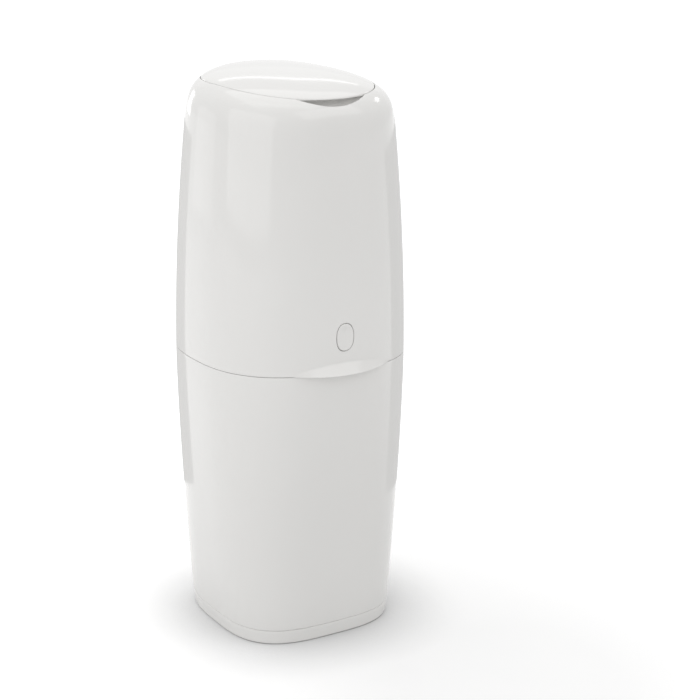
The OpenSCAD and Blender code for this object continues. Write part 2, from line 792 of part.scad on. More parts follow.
module lid_cover() {
    shares = [0.03, 0.09, 0.18, 0.3, 0.45, 0.62, 0.8];
    most = lid_half;
    outer = [for (s = shares) lid_ring(s * most, 0)];
    inner = [for (i = [len(shares) - 1 : -1 : 2]) lid_ring(shares[i] * most, wall)];
    color("white")
        difference() {
            union() {
                skin(concat([for (i = [len(inner) - 1 : -1 : 0]) inner[len(inner) - 1 - i]],
                    [lid_ring(wall + 0.3, wall + 0.3), lid_edge_ring(wall),
                    lid_edge_ring(0.4), lid_edge_ring(0, 0.6), lid_ring(0, 0.4),
                    lid_ring(0.4, 0)], outer));
                translate([-lid_knuckle_half, lid_pin_y, lid_pin_z])
                    rotate([0, 90, 0])
                        cylinder(r = lid_knuckle_r, h = 2 * lid_knuckle_half);
                translate([-lid_knuckle_half, lid_pin_y - 7, lid_pin_z - 3])
                    cube([2 * lid_knuckle_half, 7, 3.6]);
                for (c = corners)
                    lid_boss(c);
            }
            lid_bore();
            // notches for the ears that the lid hangs on
            for (s = [-1, 1])
                translate([s * (lid_knuckle_half + lid_ear_l / 2 + touch) - lid_ear_l / 2 - touch,
                    lid_pin_y - lid_knuckle_r - 0.6, lid_pin_z - 12])
                    cube([lid_ear_l + 2 * touch, 12, 18]);
            for (c = corners)
                translate([c.x * lid_boss_x, lid_y + c.y * lid_boss_y, liner_z])
                    cylinder(r = screw_r + screw_play, h = 10);
        }
}

lid_boss_x = 36;
lid_boss_y = 49;

module lid_boss(c) {
    x = c.x * lid_boss_x;
    y = lid_y + c.y * lid_boss_y;
    top = min(crown_at(x + c.x * boss_r, y), crown_at(x, y + c.y * boss_r)) - 0.8;
    translate([x, y, liner_z + liner_t])
        cylinder(r = boss_r, h = top - liner_z - liner_t);
}

module lid_liner() {
    color("whitesmoke")
        difference() {
            skin([flat_lid_ring(liner_in + 1, liner_z), flat_lid_ring(liner_in, liner_z + 1),
                lid_ring(liner_in, wall + 2 * touch), lid_ring(liner_in + 2, wall + 2 * touch),
                flat_lid_ring(liner_in + 2, liner_z + liner_t)]);
            for (c = corners)
                translate([c.x * lid_boss_x, lid_y + c.y * lid_boss_y, liner_z - 1])
                    cylinder(r = screw_r + 0.2, h = liner_t + 2);
        }
}

module lid_seal() {
    color("slategray")
        octagon_wall(throat_w + 26, throat_d + 26, corner_cut / 2 + 8, 6, liner_z - seal_h, seal_h);
}

module lid_screws() {
    color("silver")
        for (c = corners)
            translate([c.x * lid_boss_x, lid_y + c.y * lid_boss_y, liner_z])
                screw(liner_t + 6);
}

module lid_hinge_pin() {
    l = 2 * lid_ears_half - 1;
    color("silver")
        translate([-l / 2, lid_pin_y, lid_pin_z])
            rotate([0, 90, 0])
                cylinder(r = lid_pin_r, h = l);
}

// ---------- button and latch ----------

front_y = -half_at(button_z);                   // outer face of the front wall at the button
pivot_z = button_z + pivot_up;
lever_y = front_y + 14;                         // front face of the lever
lever_t = 4;
lever_half = 9;
pivot_y = lever_y + lever_t / 2;
cheek_t = 3;
cheek_in = lever_half + 1;
bracket_back = lever_y + lever_t + 14;
spring_z = button_z + 10;
hook_ramp = 8;                                  // height of the ramp below the hook

module release_button() {
    proud = 0.4;
    behind = front_y + wall + 0.5;
    color("white") {
        at_button(front_y - proud, behind + 2)
            button_shape(0);
        at_button(behind, behind + 2)
            button_shape(2.2);
        translate([0, behind + 2 - eps, button_z])
            rotate([-90, 0, 0])
                cylinder(r = 4, h = lever_y - behind - 4 + eps);
        translate([0, lever_y - 2, button_z])
            rotate([-90, 0, 0])
                cylinder(r1 = 4, r2 = 1.6, h = 1.9);
    }
}

module latch_lever() {
    hook_tip = -spigot_face + catch_reach - hook_grip;
    hook_top = catch_z - 0.4;
    color("gainsboro")
        difference() {
            union() {
                translate([-lever_half, lever_y, hook_top - hook_ramp])
                    cube([2 * lever_half, lever_t, pivot_z - hook_top + hook_ramp]);
                translate([-lever_half, pivot_y, pivot_z])
                    rotate([0, 90, 0])
                        cylinder(r = 4, h = 2 * lever_half);
                // hook with a ramp below, so that it snaps in when the bin is closed
                translate([-lever_half, 0, 0])
                    rotate([90, 0, 90])
                        linear_extrude(2 * lever_half)
                            polygon([[lever_y + eps, hook_top], [hook_tip, hook_top],
                                [hook_tip, hook_top - 1.5],
                                [lever_y + eps, hook_top - hook_ramp]]);
            }
            translate([-lever_half - 1, pivot_y, pivot_z])
                rotate([0, 90, 0])
                    cylinder(r = latch_pin_r + pin_play, h = 2 * lever_half + 2);
        }
}

module latch_pin() {
    l = 2 * (cheek_in + cheek_t);
    color("silver")
        translate([-l / 2, pivot_y, pivot_z])
            rotate([0, 90, 0])
                cylinder(r = latch_pin_r, h = l);
}

module latch_spring() {
    color("silver")
        translate([0, lever_y + lever_t + touch, spring_z])
            rotate([-90, 0, 0])
                coil(bracket_back - lever_y - lever_t - 2 * touch, 4.5, 0.8, 5);
}

module latch_bracket() {
    low = button_z - 8;
    high = pivot_z + 7;
    deep = bracket_back + 3 - latch_boss_y;
    color("gainsboro")
        difference() {
            union() {
                for (s = [-1, 1])
                    translate([s > 0 ? cheek_in : -cheek_in - cheek_t, latch_boss_y, low])
                        cube([cheek_t, deep, high - low]);
                translate([-cheek_in - cheek_t, bracket_back, low])
                    cube([2 * (cheek_in + cheek_t), 3, high - low]);
                for (s = [-1, 1])
                    translate([s > 0 ? cheek_in : -cheek_in - 23, latch_boss_y, button_z - 8])
                        cube([23, 3, 16]);
                translate([0, bracket_back + eps, spring_z])
                    rotate([90, 0, 0])
                        cylinder(r = 2.6, h = 5);
            }
            translate([-40, pivot_y, pivot_z])
                rotate([0, 90, 0])
                    cylinder(r = latch_pin_r + pin_play, h = 80);
            for (x = [-latch_boss_x, latch_boss_x])
                translate([x, latch_boss_y + 4, button_z])
                    rotate([90, 0, 0])
                        cylinder(r = screw_r + 0.2, h = 5);
        }
}

module latch_screws() {
    color("silver")
        for (x = [-latch_boss_x, latch_boss_x])
            translate([x, latch_boss_y + 3, button_z])
                rotate([90, 0, 0])
                    screw(10);
}

// ---------- film cutter ----------

cutter_t = 10;
cutter_x = cutter_boss_x - cutter_t;            // inner face of the cutter

module cutter_housing() {
    slot = 3;
    color("gainsboro")
        difference() {
            translate([cutter_x, -cutter_l / 2, cutter_z - cutter_h / 2])
                cube([cutter_t, cutter_l, cutter_h]);
            // slot that the film is pulled through, open at the foot
            translate([cutter_x - 1, -slot / 2, cutter_z - cutter_h / 2 - 1])
                cube([cutter_t + 2, slot, cutter_h - 5]);
            // flared mouth of the slot
            translate([cutter_x - 1, 0, cutter_z - cutter_h / 2])
                rotate([0, 90, 0])
                    linear_extrude(cutter_t + 2)
                        polygon([[1, -8], [1, 8], [-7, 0]]);
            // pocket for the blade
            translate([cutter_x + 3.5, -7, cutter_z - 2])
                cube([0.8, 14, 8]);
            for (y = [-18, 18])
                translate([cutter_x - 1, y, cutter_z]) {
                    rotate([0, 90, 0])
                        cylinder(r = screw_head_r + 0.3, h = cutter_t - 3 + 1);
                    rotate([0, 90, 0])
                        cylinder(r = screw_r + 0.2, h = cutter_t + 2);
                }
        }
}

module cutter_blade() {
    color("silver")
        translate([cutter_x + 3.6, 0, cutter_z])
            rotate([90, 0, 90])
                linear_extrude(0.6)
                    polygon([[-6.8, -1.8], [6.8, -0.2], [6.8, 5.8], [-6.8, 5.8]]);
}

module cutter_screws() {
    color("silver")
        for (y = [-18, 18])
            translate([cutter_boss_x - 3, y, cutter_z])
                rotate([0, 90, 0])
                    screw(7);
}

lower_shell();
base_foot();
rubber_pads();
base_screws();
rear_hinge_pin();
upper_shell();
cassette_tray();
tray_screws();
clamp_frame();
clamp_screws();
front_jaw();
front_jaw_lip();
front_jaw_springs();
rear_jaw();
rear_jaw_lip();
rear_jaw_springs();
cassette_cup();
cassette_rim();
film_pack();
lid_cover();
lid_liner();
lid_seal();
lid_screws();
lid_hinge_pin();
release_button();
latch_lever();
latch_pin();
latch_spring();
latch_bracket();
latch_screws();
cutter_housing();
cutter_blade();
cutter_screws();
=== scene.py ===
"""Nappy bin: two-part white barrel, flip-up lid, film cassette, clamp jaws and latch."""
import json
import math

import bmesh
import bpy
import numpy as np
from mathutils import Matrix, Quaternion, Vector


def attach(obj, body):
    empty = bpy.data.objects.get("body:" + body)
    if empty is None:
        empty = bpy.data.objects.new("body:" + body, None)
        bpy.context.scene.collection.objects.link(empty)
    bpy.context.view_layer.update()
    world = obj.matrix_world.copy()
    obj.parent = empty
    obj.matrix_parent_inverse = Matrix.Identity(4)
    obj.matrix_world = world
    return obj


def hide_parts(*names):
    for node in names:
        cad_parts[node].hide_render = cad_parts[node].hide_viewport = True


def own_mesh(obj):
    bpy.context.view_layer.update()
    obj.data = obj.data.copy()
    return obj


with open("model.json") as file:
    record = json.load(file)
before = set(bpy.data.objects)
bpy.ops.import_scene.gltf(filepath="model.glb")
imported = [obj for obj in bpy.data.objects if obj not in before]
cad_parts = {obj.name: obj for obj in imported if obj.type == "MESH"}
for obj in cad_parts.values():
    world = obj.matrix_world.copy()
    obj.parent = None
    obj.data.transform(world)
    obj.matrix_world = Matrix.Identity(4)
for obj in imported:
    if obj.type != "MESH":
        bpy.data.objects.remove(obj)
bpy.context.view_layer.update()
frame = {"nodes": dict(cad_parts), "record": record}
nodes = frame["nodes"]
MM = 0.001

# ---------------- sizes, in millimetres

HEIGHT = 600.0
SEAM_Z = 302.0
CROWN_Z = 529.0
CROWN_H = HEIGHT - CROWN_Z
BODY_HALF = 114.5
WALL = 2.5
LID_HALF, LID_FRONT, LID_BACK, LID_Y = 82.7, 94.5, 90.0, 6.8
LID_GAP = 0.6
LID_EDGE, LID_EDGE_THIN = 4.0, 1.4
SCOOP_HALF, SCOOP_R, THIN_HALF = 43.5, 10.6, 52.0
HINGE_Y = BODY_HALF + 4.4
HINGE = (HINGE_Y, SEAM_Z)
KNUCKLE_HALF, KNUCKLE_L, KNUCKLE_R = 21.0, 16.0, 4.0
BUTTON_Z = SEAM_Z + 36
RIM_Z = HEIGHT - 35.5
DECK_Z = RIM_Z - 6
CUP_Z = RIM_Z - 54
LINER_Z = RIM_Z + 2.5
THROAT_W, THROAT_D = 104.0, 60.0
JAW_Z, JAW_W, JAW_D, JAW_T = 494.2, 113.0, 34.0, 10.0
FRAME_REACH, SPRING_X = 72.0, 35.0
AROUND = 240                        # points round each ring of a moulded shell
TOUCH = 0.3                         # gap between neighbours that move or are soft
MERGED = 2e-6                       # metres within which points are made one

# squareness of the plans: 2 is a circle, and more is squarer
FOOT_N, SEAM_N, CROWN_N, LID_N, BUTTON_N = 3.17, 2.58, 2.45, 2.39, 2.3
# how much narrower each half is at its far end, and how the crown closes and leans back
BASE_TAPER, BASE_POWER, TOP_TAPER = 18.3, 1.3, 9.7
CROWN_POWER, CROWN_ROUND = 5.2, 1.91
BACK_LEAN, BACK_POWER = 46.2, 5.3
BLEND_Z = CROWN_Z + 0.6 * CROWN_H   # above this the crown's rings turn into the lid's outline

CORNERS = [(1, 1), (-1, 1), (-1, -1), (1, -1)]
BOSS_R = 4.5
PIN_R, PIN_BORE_R, PIN_HALF = 2, 2.05, 36.3
LID_PIN_R, LID_BORE_R, LID_PIN_HALF = 1.25, 1.3, 24.1
LATCH_PIN_R, LATCH_PIN_HALF = 1.5, 13
LATCH_BOSS_X, CUTTER_BOSS_Y = 27, 18
CLAMP_SCREW_X, CLAMP_SCREW_Y = 50, 66
CUP_W, CUP_D, CUP_CORNER = 148, 106, 24
RIM_W, RIM_D, RIM_CORNER = 154, 112, 26


# ---------------- the barrel's surface

def squareness(z):
    """Squareness of the barrel's plan at a height."""
    if z < SEAM_Z:
        return FOOT_N + (SEAM_N - FOOT_N) * max(z, 0) / SEAM_Z
    if z < CROWN_Z:
        return SEAM_N + (CROWN_N - SEAM_N) * (z - SEAM_Z) / (CROWN_Z - SEAM_Z)
    return CROWN_N


def crown_share(z):
    return min(1.0, max(0.0, (z - CROWN_Z) / CROWN_H))


def swell_at(z):
    """Half width of the upper half, before the crown closes it."""
    return BODY_HALF - TOP_TAPER * ((z - SEAM_Z) / (CROWN_Z - SEAM_Z)) ** 2


def half_at(z):
    """Half width of the barrel at a height."""
    if z < SEAM_Z:
        return BODY_HALF - BASE_TAPER * ((SEAM_Z - z) / SEAM_Z) ** BASE_POWER
    return swell_at(z) * max(0.0, 1 - crown_share(z) ** CROWN_POWER) ** (1 / CROWN_ROUND)


def back_at(z):
    """How far the crown's middle lies back of the barrel's."""
    return BACK_LEAN * crown_share(z) ** BACK_POWER


TURN = np.arange(AROUND) * 2 * math.pi / AROUND


def round_square(n, turn=TURN):
    """Points round a rounded square of half width 1."""
    c, s = np.cos(turn), np.sin(turn)
    r = (np.abs(c) ** n + np.abs(s) ** n) ** (-1 / n)
    return c * r, s * r


def body_ring(z, inset=0.0, at=None):
    """A ring of the barrel, in from its surface, at its own height or another."""
    x, y = round_square(squareness(z))
    h = half_at(z) - inset
    return np.stack([x * h, y * h + back_at(z), np.full(AROUND, z if at is None else at)], 1)


def crown_height(x, y):
    """Height of the crown over points of the plan, found by halving."""
    x, y = np.atleast_1d(np.asarray(x, float)), np.atleast_1d(np.asarray(y, float))
    low, high = np.zeros_like(x), np.ones_like(x)
    for _ in range(26):
        mid = (low + high) / 2
        z = CROWN_Z + mid * CROWN_H
        closing = np.maximum(0, 1 - mid ** CROWN_POWER) ** (1 / CROWN_ROUND)
        h = np.maximum(swell_at(z) * closing, 1e-3)
        back = BACK_LEAN * mid ** BACK_POWER
        out = (np.abs(x) / h) ** CROWN_N + (np.abs(y - back) / h) ** CROWN_N > 1
        low, high = np.where(out, low, mid), np.where(out, mid, high)
    return CROWN_Z + low * CROWN_H


def lid_plan(inset=0.0, share=1.0):
    """The lid's outline in plan, in from its edge or at a share of its size."""
    x, y = round_square(LID_N)
    long = np.where(y < 0, LID_FRONT, LID_BACK)
    return x * (LID_HALF - inset) * share, LID_Y + y * (long - inset) * share


def lid_ring(inset, down, share=1.0):
    """A ring of the lid, down from the crown's surface."""
    x, y = lid_plan(inset, share)
    return np.stack([x, y, crown_height(x, y) - down], 1)


def lid_edge_ring(inset, less=0.0):
    """The underside of the lid's turned-down edge, which thins out over the finger scoop."""
    x, y = lid_plan(inset)
    share = np.where(y < LID_Y, np.clip(1.3 - 1.3 * (x / THIN_HALF) ** 2, 0, 1), 0)
    down = LID_EDGE - (LID_EDGE - LID_EDGE_THIN - 0.4 * inset) * share - less
    return np.stack([x, y, crown_height(x, y) - down], 1)


def flat_lid_ring(inset, z):
    x, y = lid_plan(inset)
    return np.stack([x, y, np.full(AROUND, z)], 1)


def blend_ring(z, share, inset=0.0, down=0.0):
    """Part way from a level ring of the barrel to the lid's outline, on the crown."""
    x, y = round_square(CROWN_N)
    ax, ay = x * half_at(z), y * half_at(z) + back_at(z)
    bx, by = lid_plan(-inset)
    px, py = ax + (bx - ax) * share, ay + (by - ay) * share
    return np.stack([px, py, crown_height(px, py) - down], 1)


def steps(low, high, count):
    return [low + (high - low) * i / count for i in range(count + 1)]


def rings_of(ring, *places):
    """A ring of one kind at each place, given as that kind's own arguments."""
    return [ring(*place) for place in places]


# ---------------- bmesh helpers

def loft(rings, closed=False, start_cap=False, end_cap=False):
    """A skin over rings, drawn out of one circle by extruding its edges ring by ring."""
    bm = bmesh.new()
    count = len(rings[0])
    place = bm.verts.layers.int.new("place")
    for i, v in enumerate(bmesh.ops.create_circle(bm, segments=count, radius=1)["verts"]):
        v[place] = i
        v.co = Vector(rings[0][i]) * MM
    first = edges = bm.edges[:]
    for ring in rings[1:]:
        made = bmesh.ops.extrude_edge_only(bm, edges=edges)["geom"]
        for v in made:
            if isinstance(v, bmesh.types.BMVert):
                v.co = Vector(ring[v[place]]) * MM
        edges = [e for e in made if isinstance(e, bmesh.types.BMEdge) and e.is_boundary]
    if closed:
        bmesh.ops.bridge_loops(bm, edges=first + edges)
    if start_cap:
        bmesh.ops.contextual_create(bm, geom=first)
    if end_cap:
        bmesh.ops.contextual_create(bm, geom=edges)
    bmesh.ops.recalc_face_normals(bm, faces=bm.faces[:])
    return bm


def close_ends(bm):
    """Closes each open ring with one flat face."""
    while True:
        open_edges = [e for e in bm.edges if e.is_boundary]
        if not open_edges:
            break
        ring, todo = set(), [open_edges[0]]
        while todo:
            e = todo.pop()
            if e in ring:
                continue
            ring.add(e)
            for v in e.verts:
                todo += [x for x in v.link_edges if x.is_boundary and x not in ring]
        bmesh.ops.contextual_create(bm, geom=list(ring))
    bmesh.ops.recalc_face_normals(bm, faces=bm.faces[:])
    return bm


def merge_tip(bm, point):
    """Closes the ring round a point into one vertex there."""
    tip = [v for v in bm.verts if any(e.is_boundary for e in v.link_edges)
           and (v.co - Vector(point) * MM).length < 4 * MM]
    bmesh.ops.pointmerge(bm, verts=tip, merge_co=Vector(point) * MM)


def rounded(bm, width, segments=2, angle=0.6):
    """Rounds the sharp edges of a bmesh."""
    sharp = [e for e in bm.edges if len(e.link_faces) == 2 and e.calc_face_angle(0) > angle]
    bmesh.ops.bevel(bm, geom=sharp, offset=width * MM, segments=segments, profile=0.5,
                    affect="EDGES", clamp_overlap=True, material=-1)
    return bm


def block(low, high, width=0.4):
    """A rounded block between two corners."""
    bm = bmesh.new()
    bmesh.ops.create_cube(bm, size=1)
    low, high = Vector(low) * MM, Vector(high) * MM
    bmesh.ops.scale(bm, verts=bm.verts[:], vec=high - low)
    bmesh.ops.translate(bm, verts=bm.verts[:], vec=(low + high) / 2)
    return rounded(bm, width) if width else bm


ALONG = {"X": Matrix(((0, 0, 1, 0), (1, 0, 0, 0), (0, 1, 0, 0), (0, 0, 0, 1))),
         "Y": Matrix(((1, 0, 0, 0), (0, 0, 1, 0), (0, 1, 0, 0), (0, 0, 0, 1))),
         "Z": Matrix.Identity(4)}


def drawn(outline, low, high, axis="Z", width=0.0):
    """An outline drawn out along an axis, with its sharp edges rounded."""
    bm = bmesh.new()
    ring = bmesh.ops.create_circle(bm, segments=len(outline), radius=1, cap_ends=True)["verts"]
    for v, p in zip(ring, outline):
        v.co = Vector((p[0], p[1], low)) * MM
    made = bmesh.ops.extrude_face_region(bm, geom=bm.faces[:])["geom"]
    bmesh.ops.translate(bm, verts=[v for v in made if isinstance(v, bmesh.types.BMVert)],
                        vec=(0, 0, (high - low) * MM))
    bmesh.ops.transform(bm, matrix=ALONG[axis], verts=bm.verts[:])
    bmesh.ops.recalc_face_normals(bm, faces=bm.faces[:])
    return rounded(bm, width) if width else bm


def circle(centre, radius, sides=48):
    return [(centre[0] + radius * math.cos(2 * math.pi * i / sides),
             centre[1] + radius * math.sin(2 * math.pi * i / sides)) for i in range(sides)]


def rod(centre, radius, low, high, width=0.0):
    """A round rod along X."""
    return drawn(circle(centre, radius), low, high, "X", width)


def outer_spans(half, length):
    """From where to where the two outer knuckles of a hinge lie along X."""
    near = half + TOUCH
    return [(near, near + length), (-near - length, -near)]


def turned(profile, sides=40, axis="Z", place=(0, 0, 0)):
    """A profile of radius and height, spun round an axis through a place."""
    bm = bmesh.new()
    chain = [bm.verts.new((r * MM, 0, z * MM)) for r, z in profile]
    for a, b in zip(chain, chain[1:]):
        bm.edges.new((a, b))
    bmesh.ops.spin(bm, geom=bm.verts[:] + bm.edges[:], cent=(0, 0, 0), axis=(0, 0, 1),
                   angle=2 * math.pi, steps=sides, use_merge=True)
    bmesh.ops.remove_doubles(bm, verts=bm.verts[:], dist=1e-6)
    bmesh.ops.transform(bm, matrix=Matrix.Translation(Vector(place) * MM) @ ALONG[axis],
                        verts=bm.verts[:])
    bmesh.ops.recalc_face_normals(bm, faces=bm.faces[:])
    return bm


def together(*parts):
    """One bmesh holding all the given ones."""
    whole = bmesh.new()
    for bm in parts:
        mesh = bpy.data.meshes.new("part")
        bm.to_mesh(mesh)
        bm.free()
        whole.from_mesh(mesh)
        bpy.data.meshes.remove(mesh)
    return whole


def copies(bm, places):
    """One bmesh holding a copy of bm moved by each matrix."""
    mesh = bpy.data.meshes.new("part")
    bm.to_mesh(mesh)
    bm.free()
    whole = bmesh.new()
    for place in places:
        before = len(whole.verts)
        whole.from_mesh(mesh)
        whole.verts.ensure_lookup_table()
        bmesh.ops.transform(whole, matrix=place, verts=whole.verts[before:])
    bpy.data.meshes.remove(mesh)
    bmesh.ops.recalc_face_normals(whole, faces=whole.faces[:])
    return whole


def at(x, y, z, axis="Z", flip=False):
    """A place, with a part's own Z turned to lie along an axis, or against it."""
    turn = ALONG[axis]
    if flip:
        turn = turn @ Matrix.Rotation(math.pi, 4, "X")
    return Matrix.Translation(Vector((x, y, z)) * MM) @ turn


def at_corners(reach_x, reach_y, z, mid_y=0.0):
    """A place at each corner of a rectangle."""
    return [at(x * reach_x, mid_y + y * reach_y, z) for x, y in CORNERS]


def cut_mesh(bm, tool_bm, operation="DIFFERENCE"):
    """Joins or cuts one bmesh with another, and gives back the result."""
    pair = []
    for name, part in (("kept", bm), ("tool", tool_bm)):
        mesh = bpy.data.meshes.new(name)
        part.to_mesh(mesh)
        part.free()
        obj = bpy.data.objects.new(name, mesh)
        bpy.context.scene.collection.objects.link(obj)
        pair.append(obj)
    mod = pair[0].modifiers.new("cut", "BOOLEAN")
    mod.operation, mod.object, mod.solver = operation, pair[1], "EXACT"
    bpy.context.view_layer.update()
    made = bpy.data.meshes.new_from_object(
        pair[0].evaluated_get(bpy.context.evaluated_depsgraph_get()))
    result = bmesh.new()
    result.from_mesh(made)
    for mesh in [obj.data for obj in pair] + [made]:
        bpy.data.meshes.remove(mesh)
    bmesh.ops.remove_doubles(result, verts=result.verts[:], dist=MERGED)
    bmesh.ops.dissolve_degenerate(result, edges=result.edges[:], dist=MERGED)
    return result


def plain_object(name, bm, material):
    """The object of a finished bmesh, with one material."""
    mesh = bpy.data.meshes.new(name)
    bm.to_mesh(mesh)
    bm.free()
    mesh.materials.append(material)
    obj = bpy.data.objects.new(name, mesh)
    bpy.context.scene.collection.objects.link(obj)
    return obj


def piece(name, bm, body, slot, replaces, sharp=38.0):
    """A piece of the bin, which rides on a body of the frame and has its slot's finish."""
    obj = plain_object(name, bm, FINISH_OF_SLOT[slot])
    obj.data.shade_smooth()
    obj.data.set_sharp_from_angle(angle=math.radians(sharp))
    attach(obj, body)
    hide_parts(*replaces)
    return obj


def softened(name, node, body, slot, width, segments=2):
    """A piece that is a copy of a CAD node with its edges rounded."""
    bm = rounded(merged_copy(node), width, segments)
    return piece(name, bm, body, slot, (node,), 30)


def merged_copy(node):
    """A merged copy of a CAD node, with its flats joined."""
    bm = bmesh.new()
    bm.from_mesh(nodes[node].data)
    bmesh.ops.remove_doubles(bm, verts=bm.verts[:], dist=MERGED)
    bmesh.ops.dissolve_limit(bm, angle_limit=math.radians(1.5), verts=bm.verts[:],
                             edges=bm.edges[:])
    return bm


# ---------------- finishes

def node_of(tree, kind, **sockets):
    n = tree.nodes.new(kind)
    for key, value in sockets.items():
        n.inputs[key.replace("_", " ")].default_value = value
    return n


def finish_of(name, colour, rough, grain=1500.0, bump=0.02, mottle=0.02, metal=0.0,
              coat=0.0, vary=0.06, stretch=(1, 1, 1), ior=1.46, sheen=0.0, wave=0.0):
    """A procedural finish: slight colour and gloss variation and a fine surface grain."""
    mat = bpy.data.materials.new(name)
    mat.use_nodes = True
    tree = mat.node_tree
    shader = tree.nodes["Principled BSDF"]
    shader.inputs["Metallic"].default_value = metal
    shader.inputs["IOR"].default_value = ior
    shader.inputs["Coat Weight"].default_value = coat
    shader.inputs["Coat Roughness"].default_value = 0.05
    shader.inputs["Sheen Weight"].default_value = sheen
    place = tree.nodes.new("ShaderNodeTexCoord")
    spread = tree.nodes.new("ShaderNodeMapping")
    spread.inputs["Scale"].default_value = stretch
    tree.links.new(place.outputs["Object"], spread.inputs["Vector"])

    cloud = node_of(tree, "ShaderNodeTexNoise", Scale=9.0, Detail=3.0)
    tree.links.new(spread.outputs[0], cloud.inputs["Vector"])
    tone = tree.nodes.new("ShaderNodeValToRGB")
    dark = [c * (1 - mottle) for c in colour]
    light = [min(1.0, c * (1 + mottle)) for c in colour]
    tone.color_ramp.elements[0].position, tone.color_ramp.elements[1].position = 0.3, 0.7
    tone.color_ramp.elements[0].color = (*dark, 1)
    tone.color_ramp.elements[1].color = (*light, 1)
    tree.links.new(cloud.outputs["Fac"], tone.inputs["Fac"])
    tree.links.new(tone.outputs["Color"], shader.inputs["Base Color"])

    smear = node_of(tree, "ShaderNodeTexNoise", Scale=26.0, Detail=4.0)
    tree.links.new(spread.outputs[0], smear.inputs["Vector"])
    gloss = tree.nodes.new("ShaderNodeMapRange")
    gloss.inputs["To Min"].default_value = max(0.02, rough - vary)
    gloss.inputs["To Max"].default_value = rough + vary
    tree.links.new(smear.outputs["Fac"], gloss.inputs["Value"])
    tree.links.new(gloss.outputs["Result"], shader.inputs["Roughness"])

    fine = node_of(tree, "ShaderNodeTexNoise", Scale=grain, Detail=2.0)
    tree.links.new(spread.outputs[0], fine.inputs["Vector"])
    relief = node_of(tree, "ShaderNodeBump", Strength=bump, Distance=0.0002)
    tree.links.new(fine.outputs["Fac"], relief.inputs["Height"])
    if wave:
        # the slow unevenness of a large moulding
        slow = node_of(tree, "ShaderNodeTexNoise", Scale=7.0, Detail=1.0)
        tree.links.new(spread.outputs[0], slow.inputs["Vector"])
        sink = node_of(tree, "ShaderNodeBump", Strength=wave, Distance=0.001)
        tree.links.new(slow.outputs["Fac"], sink.inputs["Height"])
        tree.links.new(sink.outputs["Normal"], relief.inputs["Normal"])
    tree.links.new(relief.outputs["Normal"], shader.inputs["Normal"])
    return mat


BODY_WHITE = (0.775, 0.768, 0.752)
white_gloss = finish_of("glossy_white_moulding", BODY_WHITE, 0.11, coat=0.35, mottle=0.006,
                        bump=0.012, vary=0.03, wave=0.12)
inner_satin = finish_of("satin_white_moulding", (0.70, 0.695, 0.68), 0.42, grain=2600,
                        bump=0.10, mottle=0.012)
pad_rubber = finish_of("black_pad_rubber", (0.03, 0.03, 0.032), 0.75, grain=1800, bump=0.35,
                       mottle=0.15)
lip_rubber = finish_of("grey_lip_rubber", (0.12, 0.125, 0.14), 0.62, grain=2200, bump=0.25,
                       mottle=0.06)
zinc_steel = finish_of("zinc_plated_steel", (0.60, 0.60, 0.61), 0.30, metal=1.0, grain=1400,
                       bump=0.12, mottle=0.05, vary=0.08)
wire_steel = finish_of("drawn_wire_steel", (0.50, 0.50, 0.52), 0.26, metal=1.0, grain=900,
                       bump=0.10, mottle=0.05, stretch=(1, 1, 6))
blade_steel = finish_of("honed_blade_steel", (0.66, 0.67, 0.69), 0.16, metal=1.0, grain=1200,
                        bump=0.10, mottle=0.03, stretch=(1, 8, 1))
cup_grey = finish_of("pale_grey_cup", (0.50, 0.52, 0.55), 0.34, grain=2000, bump=0.06)
rim_blue = finish_of("deep_blue_rim", (0.022, 0.036, 0.105), 0.26, grain=1800, bump=0.05,
                     mottle=0.08, coat=0.2)
film_white = finish_of("milky_film", (0.74, 0.76, 0.79), 0.38, grain=420, bump=0.30,
                       mottle=0.04, stretch=(1, 1, 5), sheen=0.2)

FINISH_OF_SLOT = {
    "body_white": white_gloss, "inner_white": inner_satin, "pad_rubber": pad_rubber,
    "seal_rubber": lip_rubber, "steel": zinc_steel, "spring_steel": wire_steel,
    "blade_steel": blade_steel, "cassette_grey": cup_grey, "cassette_blue": rim_blue,
    "film": film_white}
for row in frame["record"]["subparts"]:
    cad = nodes[row["node"]]
    cad.data.materials.clear()
    cad.data.materials.append(FINISH_OF_SLOT[row["material_slot"]])

# ---------------- screws, pins and springs

SCREW_R, HEAD_R, HEAD_H = 1.75, 3.4, 1.8


def screw(length):
    """A pan-head screw with a cross recess and a threaded shank, along +Z."""
    profile = [(0, -HEAD_H), (1.6, -HEAD_H), (2.5, -HEAD_H + 0.12), (3.05, -HEAD_H + 0.45),
               (HEAD_R - 0.05, -1.0), (HEAD_R, -0.6), (HEAD_R, -0.12), (HEAD_R - 0.15, 0),
               (SCREW_R - 0.3, 0)]
    z = 0.5
    while z < length - 1.2:
        profile += [(SCREW_R - 0.35, z), (SCREW_R - 0.02, z + 0.3), (SCREW_R - 0.35, z + 0.6)]
        z += 0.9
    profile += [(SCREW_R - 0.4, length - 1.0), (SCREW_R - 0.9, length), (0, length)]
    near, far = 0.4, 2.1
    corner = [(far, -near), (far, near), (near, near)]
    cross = []
    for _ in range(4):
        cross += corner
        corner = [(-y, x) for x, y in corner]
    return cut_mesh(turned(profile, 32), drawn(cross, -HEAD_H - 0.5, -HEAD_H + 1.0))


def pin(half, radius, y, z):
    """A steel pin along X with rounded ends."""
    profile = [(0, -half), (radius - 0.4, -half), (radius - 0.1, -half + 0.12),
               (radius, -half + 0.4), (radius, half - 0.4), (radius - 0.1, half - 0.12),
               (radius - 0.4, half), (0, half)]
    return turned(profile, 32, "X", (0, y, z))


